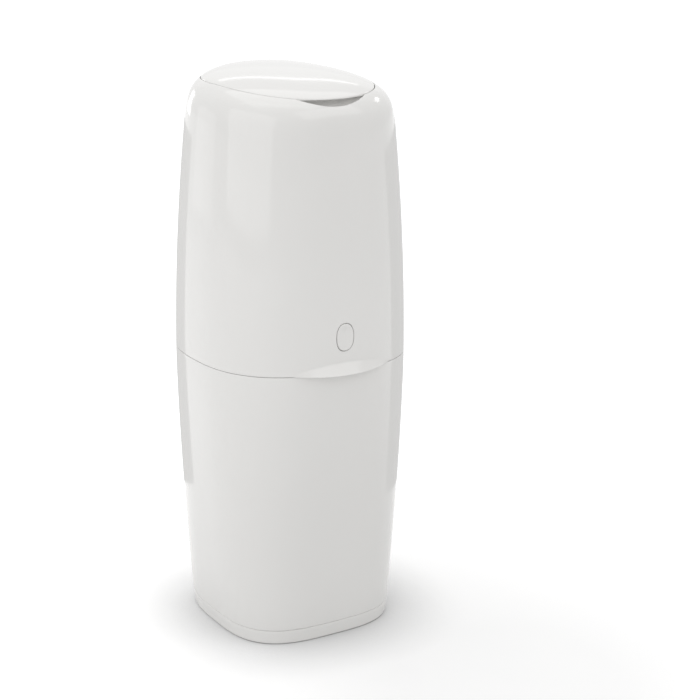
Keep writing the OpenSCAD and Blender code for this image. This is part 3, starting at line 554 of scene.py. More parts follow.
def coil(length, outer, wire, turns, places):
    """Springs along +Z from z = 0, each one wire drawn along a helix, with its ends capped."""
    radius, per_turn, sides = outer - wire / 2, 28, 10
    count = turns * per_turn
    lean = math.atan((length - wire) / turns / (2 * math.pi * radius))
    b = np.arange(sides) * 2 * math.pi / sides
    rings = []
    for i in range(count + 1):
        a = 2 * math.pi * i / per_turn
        height = wire / 2 + (length - wire) * i / count
        out = np.array([math.cos(a), math.sin(a), 0])
        up = np.array([math.sin(a) * math.sin(lean), -math.cos(a) * math.sin(lean),
                       math.cos(lean)])
        rings.append(out * (radius + wire / 2 * np.cos(b)[:, None])
                     + up * wire / 2 * np.sin(b)[:, None] + np.array([0, 0, height]))
    return copies(loft(rings, start_cap=True, end_cap=True), places)


# ---------------- lower half and foot

SEAM_SPLIT = 0.25                   # half the width of the joint line
BASE_XY, PAD_XY = 44.6, 62.0        # reach of the foot's screws and pads from the middle


def lower_half():
    """The lower shell, with the spigot that the upper half sits over."""
    bottom, top = 16.3, SEAM_Z - SEAM_SPLIT
    rings = rings_of(
        body_ring, (bottom, 2.2), (bottom, 1.1), (bottom, 0.5, bottom + 0.2),
        (bottom, 0.12, bottom + 0.6), (bottom, 0, bottom + 1.2))
    rings += [body_ring(z) for z in steps(bottom + 6, top - 3, 30)]
    rings += rings_of(
        body_ring, (SEAM_Z, 0, top - 0.4), (SEAM_Z, 0.05, top - 0.18),
        (SEAM_Z, 0.18, top - 0.05), (SEAM_Z, 0.4, top), (SEAM_Z, 2.7, top),
        (SEAM_Z, 3.0, top + 0.3), (SEAM_Z, 3.0, SEAM_Z + 6), (SEAM_Z, 3.2, SEAM_Z + 6.7),
        (SEAM_Z, 3.8, SEAM_Z + 7), (SEAM_Z, 4.4, SEAM_Z + 7), (SEAM_Z, 4.9, SEAM_Z + 6.7),
        (SEAM_Z, 5.0, SEAM_Z + 6), (SEAM_Z, 5.0, SEAM_Z - 7), (SEAM_Z, 4.4, SEAM_Z - 8.5),
        (SEAM_Z, 2.6, SEAM_Z - 11))
    rings += [body_ring(z, WALL) for z in steps(SEAM_Z - 14, bottom + 14, 20)]
    rings += [body_ring(bottom, WALL + inset, bottom + up)
              for inset, up in ((0.5, 8), (1.6, 4.4), (4, 2.8), (8, 2.5))]
    rings += [body_ring(bottom, inset, bottom + 2.5) for inset in (30, 60, 88)]
    bm = close_ends(loft(rings))
    bosses = copies(drawn(circle((0, 0), BOSS_R), 5.6, bottom + 1),
                    at_corners(BASE_XY, BASE_XY, 0))
    catch = block((-10, -110.8, SEAM_Z - 4), (10, -104.5, SEAM_Z), 0.6)
    # the two outer knuckles of the hinge, each on its web
    web = [(-8.6, -0.8), (-8.6, -16), (-3.8, -16), (3.4, -3), (3.4, -0.8)]
    web = [(HINGE_Y + y, SEAM_Z + z) for y, z in web]
    spans = outer_spans(KNUCKLE_HALF, KNUCKLE_L)
    webs = [drawn(web, a, b, "X", 0.9) for a, b in spans]
    knuckles = [rod(HINGE, KNUCKLE_R, a, b, 0.7) for a, b in spans]
    bm = cut_mesh(bm, together(bosses, catch, *webs), "UNION")
    bm = cut_mesh(bm, together(*knuckles), "UNION")
    return cut_mesh(bm, rod(HINGE, PIN_BORE_R, -60, 60))


piece("lower_half", lower_half(), "base", "body_white", ("lower_shell",))


def foot():
    """The foot's band and floor, with room below for the pads and the screws' heads."""
    rings = rings_of(
        body_ring, (0, 9, 0.6), (0, 2.4, 0.6), (0, 1.6, 0.75), (0, 1.1, 1.2), (0, 0.8, 2.1),
        (0, 0.7, 4), (6, 0.65, 8), (12, 0.6, 12), (16, 0.6, 15.0), (16, 0.7, 15.6),
        (16, 1.1, 16.0), (16, 3.2, 16.0), (0, 4, 5.6), (0, 6.5, 3.6), (0, 20, 3.6),
        (0, 60, 3.6))
    bm = close_ends(loft(rings))
    # pockets for the pads and the screws
    pockets = copies(turned([(0, -1), (9.5, -1), (9.5, 0.6), (9.2, 0.9), (9.2, 1.6), (0, 1.6)]),
                     at_corners(PAD_XY, PAD_XY, 0))
    bm = cut_mesh(bm, pockets)
    seats = copies(turned([(0, -1), (4.1, -1), (4.1, 0.5), (3.7, 0.9), (3.7, 2.7), (1.95, 2.7),
                           (1.95, 20), (0, 20)]),
                   at_corners(BASE_XY, BASE_XY, 0))
    return cut_mesh(bm, seats)


piece("foot_band", foot(), "base", "body_white", ("base_foot",))


def pads():
    """Four rubber pads with two grooves and a hollow middle."""
    profile = [(0, 0.45), (2.2, 0.45), (2.4, 0.2), (3.6, 0.2), (3.8, 0.45), (4.6, 0.45),
               (4.8, 0.1), (6.0, 0.1), (6.2, 0.4), (7.0, 0.4), (7.2, 0), (8.2, 0),
               (8.6, 0.15), (8.9, 0.5), (9, 1.0), (9, 1.6), (0, 1.6)]
    return copies(turned(profile, 56), at_corners(PAD_XY, PAD_XY, 0))


piece("ribbed_pads", pads(), "base", "pad_rubber", ("rubber_pads",))
piece("foot_screws", copies(screw(13.6), at_corners(BASE_XY, BASE_XY, 2.7)),
      "base", "steel", ("base_screws",))
piece("body_pin", pin(PIN_HALF, PIN_R, *HINGE), "base", "steel",
      ("rear_hinge_pin",))


# ---------------- upper half

LIP_OUT, LIP_H, LIP_HALF, LIP_DROP = 9.8, 10.4, 58.0, 1.7
LIP_CREASE = 0.10                   # how softly the lip starts out of the wall


def lip_ring(up, inset=0.0, tuck=0.0):
    """The foot of the upper half: its front swells out into the pull lip."""
    z = SEAM_Z + SEAM_SPLIT + up
    ring = body_ring(z, inset)
    share = np.clip(1 - (ring[:, 0] / LIP_HALF) ** 2, 0, None)
    b = np.where(ring[:, 1] < 0, share, 0)
    rise = np.clip(1 - up / (LIP_H * (0.35 + 0.65 * b)), 0, None)
    swell = (np.hypot(rise, LIP_CREASE) - LIP_CREASE) / (math.hypot(1, LIP_CREASE) - LIP_CREASE)
    ring[:, 1] -= (LIP_OUT - tuck) * b * swell
    ring[:, 2] -= LIP_DROP * b * rise
    return ring


def upper_half():
    """The upper shell, with its pull lip and the opening for the lid."""
    low, top = SEAM_Z + SEAM_SPLIT, BLEND_Z
    rings = [lip_ring(up) for up in steps(0.45, 10.95, 17) + [12, 13.5, 15, 18, 23]]
    rings += [body_ring(z) for z in steps(low + 32, CROWN_Z - 6, 16)]
    rings += [body_ring(z) for z in steps(CROWN_Z, top, 16)]
    rings += [blend_ring(top, s, LID_GAP + 0.7) for s in steps(0, 1, 16)[1:]]
    rings += rings_of(
        lid_ring, (-LID_GAP - 0.3, 0.12), (-LID_GAP - 0.08, 0.35), (-LID_GAP, 0.8),
        (-LID_GAP, 3.6), (-LID_GAP - 0.3, LID_EDGE), (-LID_GAP - 2, LID_EDGE))
    rings += [blend_ring(top, s, LID_GAP, WALL) for s in (0.85, 0.7, 0.5, 0.3)]
    rings += [body_ring(z, WALL, z - 1) for z in reversed(steps(CROWN_Z + 2, top, 10))]
    rings += [body_ring(z, WALL) for z in reversed(steps(low + 8, CROWN_Z - 8, 16))]
    rings += (
        rings_of(
            body_ring, (SEAM_Z, WALL, low + 0.5), (SEAM_Z, WALL - 0.4, low), (SEAM_Z, 1.0, low))
        + rings_of(
            lip_ring, (0.0, 0.4, 1.6), (0.05, 0.15, 0.6), (0.2, 0.04, 0.12)))
    return loft(rings, closed=True)


SCOOP_Y = LID_Y - LID_FRONT
SCOOP_Z = float(crown_height(0, SCOOP_Y)[0])
LID_PIN_Y = LID_Y + LID_BACK - 1.2
LID_PIN_Z = float(crown_height(0, LID_Y + LID_BACK)[0]) + 1.7
LID_PIN = (LID_PIN_Y, LID_PIN_Z)
LID_KNUCKLE_HALF, LID_EAR_L, LID_KNUCKLE_R = 14.0, 10.0, 3.0
FRONT_Y = -half_at(BUTTON_Z)
CUTTER_Z = SEAM_Z + 34
CUTTER_X = half_at(CUTTER_Z) - 8
LATCH_Y = FRONT_Y + 12


def spindle(grow, sides=96, count=48):
    """The finger scoop: a bent spindle along the lid's front edge."""
    rings = []
    for i in range(-count, count + 1):
        t = math.sin(math.pi / 2 * i / count)
        x = SCOOP_HALF * 0.99 * t
        y = LID_Y - LID_FRONT * (1 - (abs(x) / LID_HALF) ** LID_N) ** (1 / LID_N)
        z = float(crown_height(x, y)[0])
        r = SCOOP_R * (1 - (x / SCOOP_HALF) ** 2) + grow
        a = np.arange(sides) * 2 * math.pi / sides
        rings.append(np.stack([np.full(sides, x + grow * t), y + r * np.cos(a),
                               z + r * np.sin(a)], 1))
    return loft(rings, start_cap=True, end_cap=True)


BUTTON_HALF = (9.75, 14.15)


def button_ring(grow, y, count=96):
    """A ring of the oval button, or of its hole."""
    x, z = round_square(BUTTON_N, np.arange(count) * 2 * math.pi / count)
    return np.stack([x * (BUTTON_HALF[0] + grow), np.full(count, float(y)),
                     BUTTON_Z + z * (BUTTON_HALF[1] + grow)], 1)


def tray_boss(inward, z=DECK_Z + 8):
    """Where the tray's four bosses stand, in from the wall's corners."""
    r = (half_at(z) - WALL / 2) * 2 ** (-1 / CROWN_N) - inward
    return [(x * r, y * r + back_at(z)) for x, y in CORNERS]


def scoop_pan():
    """The wall round the finger scoop, kept inside the crown and below the lid."""
    limit = [body_ring(z, 0.5) for z in steps(CROWN_Z, BLEND_Z, 8)]
    limit += [blend_ring(BLEND_Z, s, LID_GAP, 0.5) for s in (0.3, 0.6, 0.85, 1)]
    limit += [lid_ring(-LID_GAP, LID_EDGE - 0.2)]
    limit += [lid_ring(inset, LID_EDGE - 0.3) for inset in (LID_GAP, 4, 8, 12, 15)]
    limit += [flat_lid_ring(25, SCOOP_Z - LID_EDGE - 0.6)]
    return cut_mesh(spindle(2.2), loft(limit, start_cap=True, end_cap=True), "INTERSECT")


def tray_posts():
    """The tray's four bosses, and the fins that hold them to the wall."""
    posts, fins = [], []
    for (x, y), (wx, wy) in zip(tray_boss(7), tray_boss(0)):
        posts.append(drawn(circle((x, y), BOSS_R), DECK_Z, DECK_Z + 8, "Z", 0.4))
        turn = math.atan2(wy - y, wx - x)
        c, s = math.cos(turn), math.sin(turn)
        reach = math.hypot(wx - x, wy - y)
        fins.append(drawn([(x + c * u - s * v, y + s * u + c * v)
                           for u, v in ((0, -1.5), (reach, -1.5), (reach, 1.5), (0, 1.5))],
                          DECK_Z + 0.3, DECK_Z + 7.6, "Z"))
    return posts, fins


def button_hole():
    return loft(rings_of(
        button_ring, (0.7, FRONT_Y + 8), (0.7, FRONT_Y + 0.45), (0.9, FRONT_Y + 0.12),
        (1.5, FRONT_Y - 0.35), (1.5, FRONT_Y - 4)), start_cap=True, end_cap=True)


def finished_upper():
    """The upper shell with its bosses, hinge parts, finger scoop and holes."""
    bm, pan = upper_half(), scoop_pan()
    posts, fins = tray_posts()
    # bosses for the latch's bracket and for the film cutter
    bosses = [drawn(circle((x, BUTTON_Z), BOSS_R), LATCH_Y - 9.8, LATCH_Y, "Y", 0.4)
              for x in (-LATCH_BOSS_X, LATCH_BOSS_X)]
    bosses += [rod((y, CUTTER_Z), 4, CUTTER_X, CUTTER_X + 6.75, 0.4)
               for y in (-CUTTER_BOSS_Y, CUTTER_BOSS_Y)]
    # the middle knuckle of the body's hinge, and the lid's ears
    web = [(-7, 0.8), (3.4, 0.8), (3.4, 3), (-3.8, 17), (-7, 17)]
    web = drawn([(HINGE_Y + y, SEAM_Z + z) for y, z in web], -KNUCKLE_HALF, KNUCKLE_HALF, "X", 0.9)
    spans = outer_spans(LID_KNUCKLE_HALF, LID_EAR_L)
    ears = [block((a, LID_PIN_Y - 1, LID_PIN_Z - 9), (b, LID_PIN_Y + 2.9, LID_PIN_Z), 0.8)
            for a, b in spans]
    rods = [rod(LID_PIN, LID_KNUCKLE_R, a, b, 0.6) for a, b in spans]
    rods.append(rod(HINGE, KNUCKLE_R, -KNUCKLE_HALF, KNUCKLE_HALF, 0.7))
    bm = cut_mesh(bm, together(pan, web, *fins, *bosses, *ears), "UNION")
    bm = cut_mesh(bm, together(*posts, *rods), "UNION")
    near = LID_KNUCKLE_HALF + TOUCH
    notch = rod(LID_PIN, LID_KNUCKLE_R + 0.6, -near, near)
    bore = rod(HINGE, PIN_BORE_R, -60, 60)
    bm = cut_mesh(bm, together(spindle(0), button_hole(), bore, notch))
    return cut_mesh(bm, rod(LID_PIN, LID_BORE_R, -40, 40))


piece("upper_half", finished_upper(), "upper", "body_white", ("upper_shell",))


# ---------------- lid

def lid_shell():
    """The lid's dome, with its turned-down edge."""
    rings = [lid_ring(0, WALL, share)
             for share in (0.04, 0.12, 0.25, 0.4, 0.55, 0.7, 0.82, 0.9, 0.95)]
    rings += (
        [lid_ring(WALL + 0.3, WALL + 0.3)]
        + rings_of(
            lid_edge_ring, (WALL, 0.3), (WALL - 0.4, 0), (0.5, 0), (0.1, 0.2), (0, 0.5))
        + rings_of(
            lid_ring, (0, 0.8), (0.08, 0.38), (0.35, 0.12), (0.8, 0)))
    rings += [lid_ring(0, 0, share) for share in
              (0.98, 0.965, 0.945, 0.92, 0.89, 0.86, 0.82, 0.78, 0.73, 0.68, 0.62, 0.56, 0.5, 0.44,
               0.38, 0.32, 0.26, 0.2, 0.15, 0.1, 0.06, 0.03, 0.015)]
    bm = loft(rings)
    merge_tip(bm, (0, LID_Y, float(crown_height(0, LID_Y)[0])))
    return close_ends(bm)


LID_BOSS_X, LID_BOSS_Y = 36.0, 49.0
LID_SCREWS = [(x * LID_BOSS_X, LID_Y + y * LID_BOSS_Y) for x, y in CORNERS]


def finished_lid():
    """The lid's dome with its screw bosses, its knuckle and room for the ears."""
    half = LID_KNUCKLE_HALF
    bosses = []
    for x, y in LID_SCREWS:
        top = min(crown_height(x + math.copysign(BOSS_R, x), y)[0],
                  crown_height(x, y + math.copysign(BOSS_R, y - LID_Y))[0]) - 0.8
        bosses.append(drawn(circle((x, y), BOSS_R), LINER_Z + 2, top))
    arm = block((-half, LID_PIN_Y - 7, LID_PIN_Z - 3), (half, LID_PIN_Y, LID_PIN_Z + 0.6), 0.4)
    bm = cut_mesh(lid_shell(), together(arm, *bosses), "UNION")
    bm = cut_mesh(bm, rod(LID_PIN, LID_KNUCKLE_R, -half, half, 0.3), "UNION")
    middle = LID_KNUCKLE_HALF + LID_EAR_L / 2 + TOUCH
    rooms = [block((x - 5.3, LID_PIN_Y - LID_KNUCKLE_R - 0.6, LID_PIN_Z - 12),
                   (x + 5.3, LID_PIN_Y + 9, LID_PIN_Z + 6), 0) for x in (middle, -middle)]
    bm = cut_mesh(bm, together(*rooms))
    return cut_mesh(bm, rod(LID_PIN, LID_BORE_R, -40, 40))


piece("lid_dome", finished_lid(), "lid", "body_white", ("lid_cover",))


def liner():
    """The lid's inner tray, with a bead on each face and its four screw holes."""
    rings = rings_of(
        flat_lid_ring, (60, LINER_Z), (31, LINER_Z), (30.4, LINER_Z + 0.5),
        (28.6, LINER_Z + 0.5), (28, LINER_Z), (18.6, LINER_Z), (17.6, LINER_Z + 0.25),
        (17.1, LINER_Z + 0.8), (17, LINER_Z + 1.6))
    rings += (
        rings_of(
            lid_ring, (17, 3.4), (17.2, 3.15), (17.6, 3.1), (18.6, 3.1), (19, 3.4))
        + rings_of(
            flat_lid_ring, (19, LINER_Z + 2.6), (19.6, LINER_Z + 2), (60, LINER_Z + 2)))
    bm = close_ends(loft(rings))
    holes = copies(turned([(0, -2), (1.95, -2), (1.95, 4), (0, 4)], 32),
                   [at(x, y, LINER_Z) for x, y in LID_SCREWS])
    return cut_mesh(bm, holes)


piece("lid_tray", liner(), "lid", "inner_white", ("lid_liner",))
piece("lid_fixings", copies(screw(8), [at(x, y, LINER_Z) for x, y in LID_SCREWS]),
      "lid", "steel", ("lid_screws",))
piece("lid_pin", pin(LID_PIN_HALF, LID_PIN_R, *LID_PIN), "upper", "steel",
      ("lid_hinge_pin",))


# ---------------- cassette, under the lid

def octagon(w, d, corner, radius=4.0, per_corner=7):
    """The cassette's octagon round its middle, with rounded corners."""
    a, b = w / 2, d / 2
    tips = [Vector(p) for p in (
        (a - corner, -b), (a, corner - b), (a, b - corner), (a - corner, b),
        (corner - a, b), (-a, b - corner), (-a, corner - b), (corner - a, -b))]
    points = []
    for i, tip in enumerate(tips):
        into = (tip - tips[i - 1]).normalized()
        turn = math.pi / 4
        side = Vector((-into.y, into.x))
        centre = tip - into * radius * math.tan(turn / 2) + side * radius
        for k in range(per_corner):
            t = turn * k / (per_corner - 1)
            c, s = math.cos(t), math.sin(t)
            points.append((centre.x - (side.x * c - side.y * s) * radius,
                           centre.y - (side.x * s + side.y * c) * radius + LID_Y))
    return points


def octagon_ring(w, d, corner, z, radius=4.0):
    return np.array([(x, y, z) for x, y in octagon(w, d, corner, radius)])


def cassette_ring(out, z, radius=9.0):
    """A ring of the cassette's outside, out from the rim's edge."""
    return octagon_ring(RIM_W + 2 * out, RIM_D + 2 * out, RIM_CORNER + 0.6 * out, z, radius)


def throat_ring(out, z, radius=5.0):
    """A ring of the throat, out from its edge."""
    return octagon_ring(THROAT_W + 2 * out, THROAT_D + 2 * out, 13 + 0.6 * out, z, radius)


def rim():
    """The cassette's rim, with its grip groove outside and its throat's edge inside."""
    top = RIM_Z
    rings = (
        rings_of(
            throat_ring, (1.4, DECK_Z - 6), (1.7, DECK_Z - 6.2), (2.6, DECK_Z - 6.2),
            (3, DECK_Z - 5.8), (3, top - 2.6))
        + rings_of(
            cassette_ring, (-3, top - 2.6), (-3, DECK_Z + 0.4), (-2.6, DECK_Z), (-0.6, DECK_Z),
            (-0.1, DECK_Z + 0.3), (0, DECK_Z + 0.8), (-0.1, DECK_Z + 1.5), (-0.6, DECK_Z + 1.9),
            (-0.6, DECK_Z + 2.4), (-0.1, DECK_Z + 2.8), (0, DECK_Z + 3.4), (0, top - 1.6),
            (-0.25, top - 0.9), (-0.8, top - 0.35), (-1.6, top - 0.05), (-3.2, top),
            (-4.2, top - 0.15), (-4.7, top - 0.6), (-5.2, top - 1.2), (-6.4, top - 1.3),
            (-7.4, top - 1.1))
        + rings_of(
            throat_ring, (9, top - 0.9), (5.4, top - 0.7), (4.2, top - 0.2), (3.2, top),
            (2.2, top - 0.1), (1.5, top - 0.7), (1.15, top - 1.8), (1, top - 3), (1, DECK_Z - 4)))
    return loft(rings, closed=True)


piece("cassette_rim_band", rim(), "upper", "cassette_blue", ("cassette_rim",))


def cup():
    """The cassette's cup: an outer wall, a floor and the throat's wall."""
    low, high = CUP_Z, DECK_Z

    def out(inset, z, radius=8.0):
        return octagon_ring(CUP_W - 2 * inset, CUP_D - 2 * inset, CUP_CORNER - 0.6 * inset, z,
                            radius)

    rings = (
        rings_of(
            throat_ring, (0, high - 7.3), (0.25, high - 7), (0.95, high - 7), (1.2, high - 7.3),
            (1.2, low + 2.3), (1.6, low + 1.6), (2.4, low + 1.5))
        + rings_of(
            out, (2.6, low + 1.5), (1.6, low + 1.7), (1.2, low + 2.6), (1.2, high - 0.3),
            (0.95, high), (0.25, high), (0, high - 0.3), (0, low + 1.6), (0.3, low + 0.7),
            (0.9, low + 0.15), (1.8, low))
        + rings_of(
            throat_ring, (0.6, low), (0.1, low + 0.4), (0, low + 1)))
    return loft(rings, closed=True)


piece("cassette_body", cup(), "upper", "cassette_grey", ("cassette_cup",))


def pleats():
    """The film, packed as a stack of folds between the cassette's walls."""
    low, high, folds = CUP_Z + 1.7, CUP_Z + 38.3, 24
    w, d = CUP_W - 3.6, CUP_D - 3.6
    inner = [throat_ring(1.9 + (0.9 if i % 2 else 0), low + (high - low) * i / (2 * folds), 4)
             for i in range(2 * folds + 1)]
    outer = [octagon_ring(w - (1.8 if i % 2 else 0), d - (1.8 if i % 2 else 0), 23.5,
                          high - (high - low) * i / (2 * folds), 6) for i in range(2 * folds + 1)]
    return loft(inner + outer, closed=True)


piece("pleated_film", pleats(), "upper", "film", ("film_pack",))


def seal():
    """The lid's rubber seal: a half-round bead on a flat foot."""
    top = LINER_Z
    profile = [(0, 0), (0, 0.75), (0.5, 0.8), (0.9, 1.2), (1.3, 1.75), (2, 2.1), (3, 2.2), (4, 2.1),
               (4.7, 1.75), (5.1, 1.2), (5.5, 0.8), (6, 0.75), (6, 0)]
    w, d, corner = THROAT_W + 26, THROAT_D + 26, 21
    rings = [octagon_ring(w - 2 * u, d - 2 * u, corner - 0.6 * u, top - v, 7) for u, v in profile]
    return loft(rings, closed=True)


piece("seal_bead", seal(), "lid", "seal_rubber", ("lid_seal",))

# ---------------- tray and clamp

softened("tray_deck", "cassette_tray", "upper", "inner_white", 0.5)
piece("tray_fixings", copies(screw(8.5), [at(x, y, DECK_Z - 2.5) for x, y in tray_boss(7)]),
      "upper", "steel", ("tray_screws",))
softened("jaw_frame", "clamp_frame", "upper", "inner_white", 0.6)
SLEEVE_Z = CUP_Z - 3
piece("clamp_fixings",
      copies(screw(12), at_corners(CLAMP_SCREW_X, CLAMP_SCREW_Y, SLEEVE_Z - 3, LID_Y)),
      "upper", "steel", ("clamp_screws",))


def soft_lip(sign):
    """The rubber lip along a jaw's edge, with fine ribs that grip the film."""
    low_y, high_y = 0.15, 3.0
    z0, z1 = JAW_Z + 0.5, JAW_Z + 5.9
    count, half = 106, JAW_W / 2 - 3
    rings = []
    for i in range(count + 1):
        x = -half + 2 * half * i / count
        deep = 0.0 if i % 2 else 0.45
        outline = [(high_y, z0), (low_y + deep + 0.5, z0), (low_y + deep, z0 + 0.6),
                   (low_y + deep * 0.6, (z0 + z1) / 2), (low_y + deep, z1 - 0.6),
                   (low_y + deep + 0.5, z1), (high_y, z1)]
        rings.append(np.array([(x, LID_Y + sign * y, z) for y, z in outline]))
    return loft(rings, start_cap=True, end_cap=True)


for sign, side in ((1, "rear"), (-1, "front")):
    body = side + "_clamp"
    softened(side + "_jaw_block", side + "_jaw", body, "inner_white", 0.9, 3)
    piece(side + "_ribbed_lip", soft_lip(sign), body, "seal_rubber",
          (side + "_jaw_lip",))
    length = FRAME_REACH - JAW_D - 2 * TOUCH
    places = [at(x, LID_Y + sign * (JAW_D + TOUCH), JAW_Z + JAW_T / 2, "Y", sign < 0)
              for x in (-SPRING_X, SPRING_X)]
    wound = piece(side + "_jaw_coils", coil(length, 4, 0.9, 8, places), "upper", "spring_steel",
                  (side + "_jaw_springs",))
    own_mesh(wound)


# ---------------- release button and latch

LEVER_Y = FRONT_Y + 14
LEVER_T = 4.0
PIVOT_Y, PIVOT_Z = LEVER_Y + LEVER_T / 2, BUTTON_Z + 34
BRACKET_BACK = LEVER_Y + LEVER_T + 14
SPRING_Z = BUTTON_Z + 10


def button():
    """The oval button, with a flange behind the wall and a stem that meets the lever."""
    back = FRONT_Y + WALL + 2.5
    rings = rings_of(
        button_ring, (2.2, back), (2.2, back - 1.7), (1.9, back - 2), (0, back - 2),
        (0, FRONT_Y + 0.25), (-0.12, FRONT_Y - 0.1), (-0.5, FRONT_Y - 0.32),
        (-1.2, FRONT_Y - 0.42))
    # the face is dished for a fingertip
    rings += [button_ring(-g, FRONT_Y - 0.42 + 0.9 * (1 - ((10.4 - g) / 9.2) ** 2) ** 1.5)
              for g in (2, 3, 4, 5, 6, 7, 8, 9, 10)]
    bm = close_ends(loft(rings))
    stem = turned([(0, -0.3), (4, -0.3), (4, LEVER_Y - 2.2 - back), (3.8, LEVER_Y - 1.9 - back),
                   (1.8, LEVER_Y - 0.25 - back), (1.4, LEVER_Y - 0.1 - back),
                   (0, LEVER_Y - 0.1 - back)], 40, "Y", (0, back, BUTTON_Z))
    return cut_mesh(bm, stem, "UNION")


piece("oval_button", button(), "button", "body_white", ("release_button",))
softened("hook_lever", "latch_lever", "latch", "inner_white", 0.5)
piece("lever_pin", pin(LATCH_PIN_HALF, LATCH_PIN_R, PIVOT_Y, PIVOT_Z), "upper", "steel",
      ("latch_pin",))
latch_coil = piece("latch_coil", coil(BRACKET_BACK - LEVER_Y - LEVER_T - 2 * TOUCH, 4.5, 0.8, 5,
                                      [at(0, LEVER_Y + LEVER_T + TOUCH, SPRING_Z, "Y")]),
                   "upper", "spring_steel", ("latch_spring",))
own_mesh(latch_coil)
softened("latch_cage", "latch_bracket", "upper", "inner_white", 0.5)
piece("latch_fixings", copies(screw(10), [at(x, LATCH_Y + 3, BUTTON_Z, "Y", True)
                                          for x in (-LATCH_BOSS_X, LATCH_BOSS_X)]),
      "upper", "steel", ("latch_screws",))

# ---------------- film cutter

softened("cutter_guard", "cutter_housing", "upper", "cassette_blue", 0.5)
softened("cutter_edge", "cutter_blade", "upper", "blade_steel", 0.12, 1)
piece("cutter_fixings", copies(screw(7), [at(CUTTER_X - 3, y, CUTTER_Z, "X")
                                          for y in (-CUTTER_BOSS_Y, CUTTER_BOSS_Y)]),
      "upper", "steel", ("cutter_screws",))

# ---------------- floor, light and camera

WORLD_LEVEL = 0.67
FLOOR_HALF = 20                     # metres
FLOOR_TONE = 0.78
# painted shade on the floor: how far its occlusion mask reaches, and the floor's colour where the
# mask is darkest and where it is clear
PAINTED_SHADE_REACH, PAINTED_SHADE_DARK, PAINTED_SHADE_LIGHT = 0.09, 0.28, 0.98
# past the lamps' reach the floor glows more, so that it stays white to the horizon; the glow's
# middle lies in front of the part, toward +X, so the glow also paints light into the part's shade
# on the floor behind it and on its -X side, and stays weak close to that middle so that the painted
# shade there shows
GLOW_MIDDLE = (0.10, -0.28, 0)
GLOW_FROM, GLOW_TO, NEAR_GLOW, FAR_GLOW = 0.12, 0.95, 0.02, 0.54
# a curved grey screen behind the part, seen only in its gloss, keeps its outline from fading
SCREEN_R, SCREEN_H, SCREEN_LIFT, SCREEN_LEVEL, SCREEN_PANES = 0.42, 0.50, 0.001, 0.7, 48
SCREEN_FROM, SCREEN_TURN = math.radians(-32), math.radians(144)


def rays_seen(tree):
    """1 where the camera sees a surface, directly, in a reflection or through glass."""
    path = tree.nodes.new("ShaderNodeLightPath")
    last = path.outputs["Is Camera Ray"]
    for name in ("Is Glossy Ray", "Is Transmission Ray"):
        most = tree.nodes.new("ShaderNodeMath")
        most.operation = "MAXIMUM"
        tree.links.new(last, most.inputs[0])
        tree.links.new(path.outputs[name], most.inputs[1])
        last = most.outputs[0]
    return last


def empty_finish(name):
    """A material without its first shader, and its node tree."""
    mat = bpy.data.materials.new(name)
    mat.use_nodes = True
    tree = mat.node_tree
    tree.nodes.remove(tree.nodes["Principled BSDF"])
    return mat, tree


def floor_matt(tree):
    """The floor's surface, with a soft painted shade where the part stands: an ambient occlusion
    mask darkens the colour that the camera sees, directly or in gloss.
    """
    matt = tree.nodes.new("ShaderNodeBsdfDiffuse")
    paint = tree.nodes.new("ShaderNodeMix")
    paint.data_type = "RGBA"
    paint.inputs["A"].default_value = (FLOOR_TONE, FLOOR_TONE, FLOOR_TONE, 1)
    # painted shade: ambient occlusion darkens the floor's colour for the rays that rays_seen
    # counts, but not for the light that the floor bounces
    painted_shade = node_of(tree, "ShaderNodeAmbientOcclusion", Distance=PAINTED_SHADE_REACH)
    painted_shade.samples = 8
    painted_shade_tone = node_of(tree, "ShaderNodeMapRange", To_Min=PAINTED_SHADE_DARK, To_Max=PAINTED_SHADE_LIGHT)
    tree.links.new(painted_shade.outputs["AO"], painted_shade_tone.inputs["Value"])
    tree.links.new(painted_shade_tone.outputs["Result"], paint.inputs["B"])
    tree.links.new(rays_seen(tree), paint.inputs["Factor"])
    tree.links.new(paint.outputs["Result"], matt.inputs["Color"])
    return matt


def floor_glow(tree):
    """The floor's glow, stronger with the distance from its middle: it keeps the far floor white
    and paints light into the part's shade behind it.
    """
    glow = node_of(tree, "ShaderNodeEmission", Color=(1, 1, 1, 1))
    place = tree.nodes.new("ShaderNodeTexCoord")
    away = tree.nodes.new("ShaderNodeVectorMath")
    away.operation = "DISTANCE"
    away.inputs[1].default_value = GLOW_MIDDLE
    tree.links.new(place.outputs["Object"], away.inputs[0])
    spread = node_of(tree, "ShaderNodeMapRange", From_Min=GLOW_FROM, From_Max=GLOW_TO,
                     To_Min=NEAR_GLOW, To_Max=FAR_GLOW)
    tree.links.new(away.outputs["Value"], spread.inputs["Value"])
    level = tree.nodes.new("ShaderNodeMath")
    level.operation = "MULTIPLY"
    tree.links.new(spread.outputs["Result"], level.inputs[1])
    tree.links.new(rays_seen(tree), level.inputs[0])
    tree.links.new(level.outputs[0], glow.inputs["Strength"])
    return glow


def white_floor():
    mat, tree = empty_finish("white_floor")
    both = tree.nodes.new("ShaderNodeAddShader")
    tree.links.new(floor_matt(tree).outputs[0], both.inputs[0])
    tree.links.new(floor_glow(tree).outputs[0], both.inputs[1])
    tree.links.new(both.outputs[0], tree.nodes["Material Output"].inputs["Surface"])
    bm = bmesh.new()
    bmesh.ops.create_grid(bm, x_segments=8, y_segments=8, size=FLOOR_HALF)
    return plain_object("studio_floor", bm, mat)


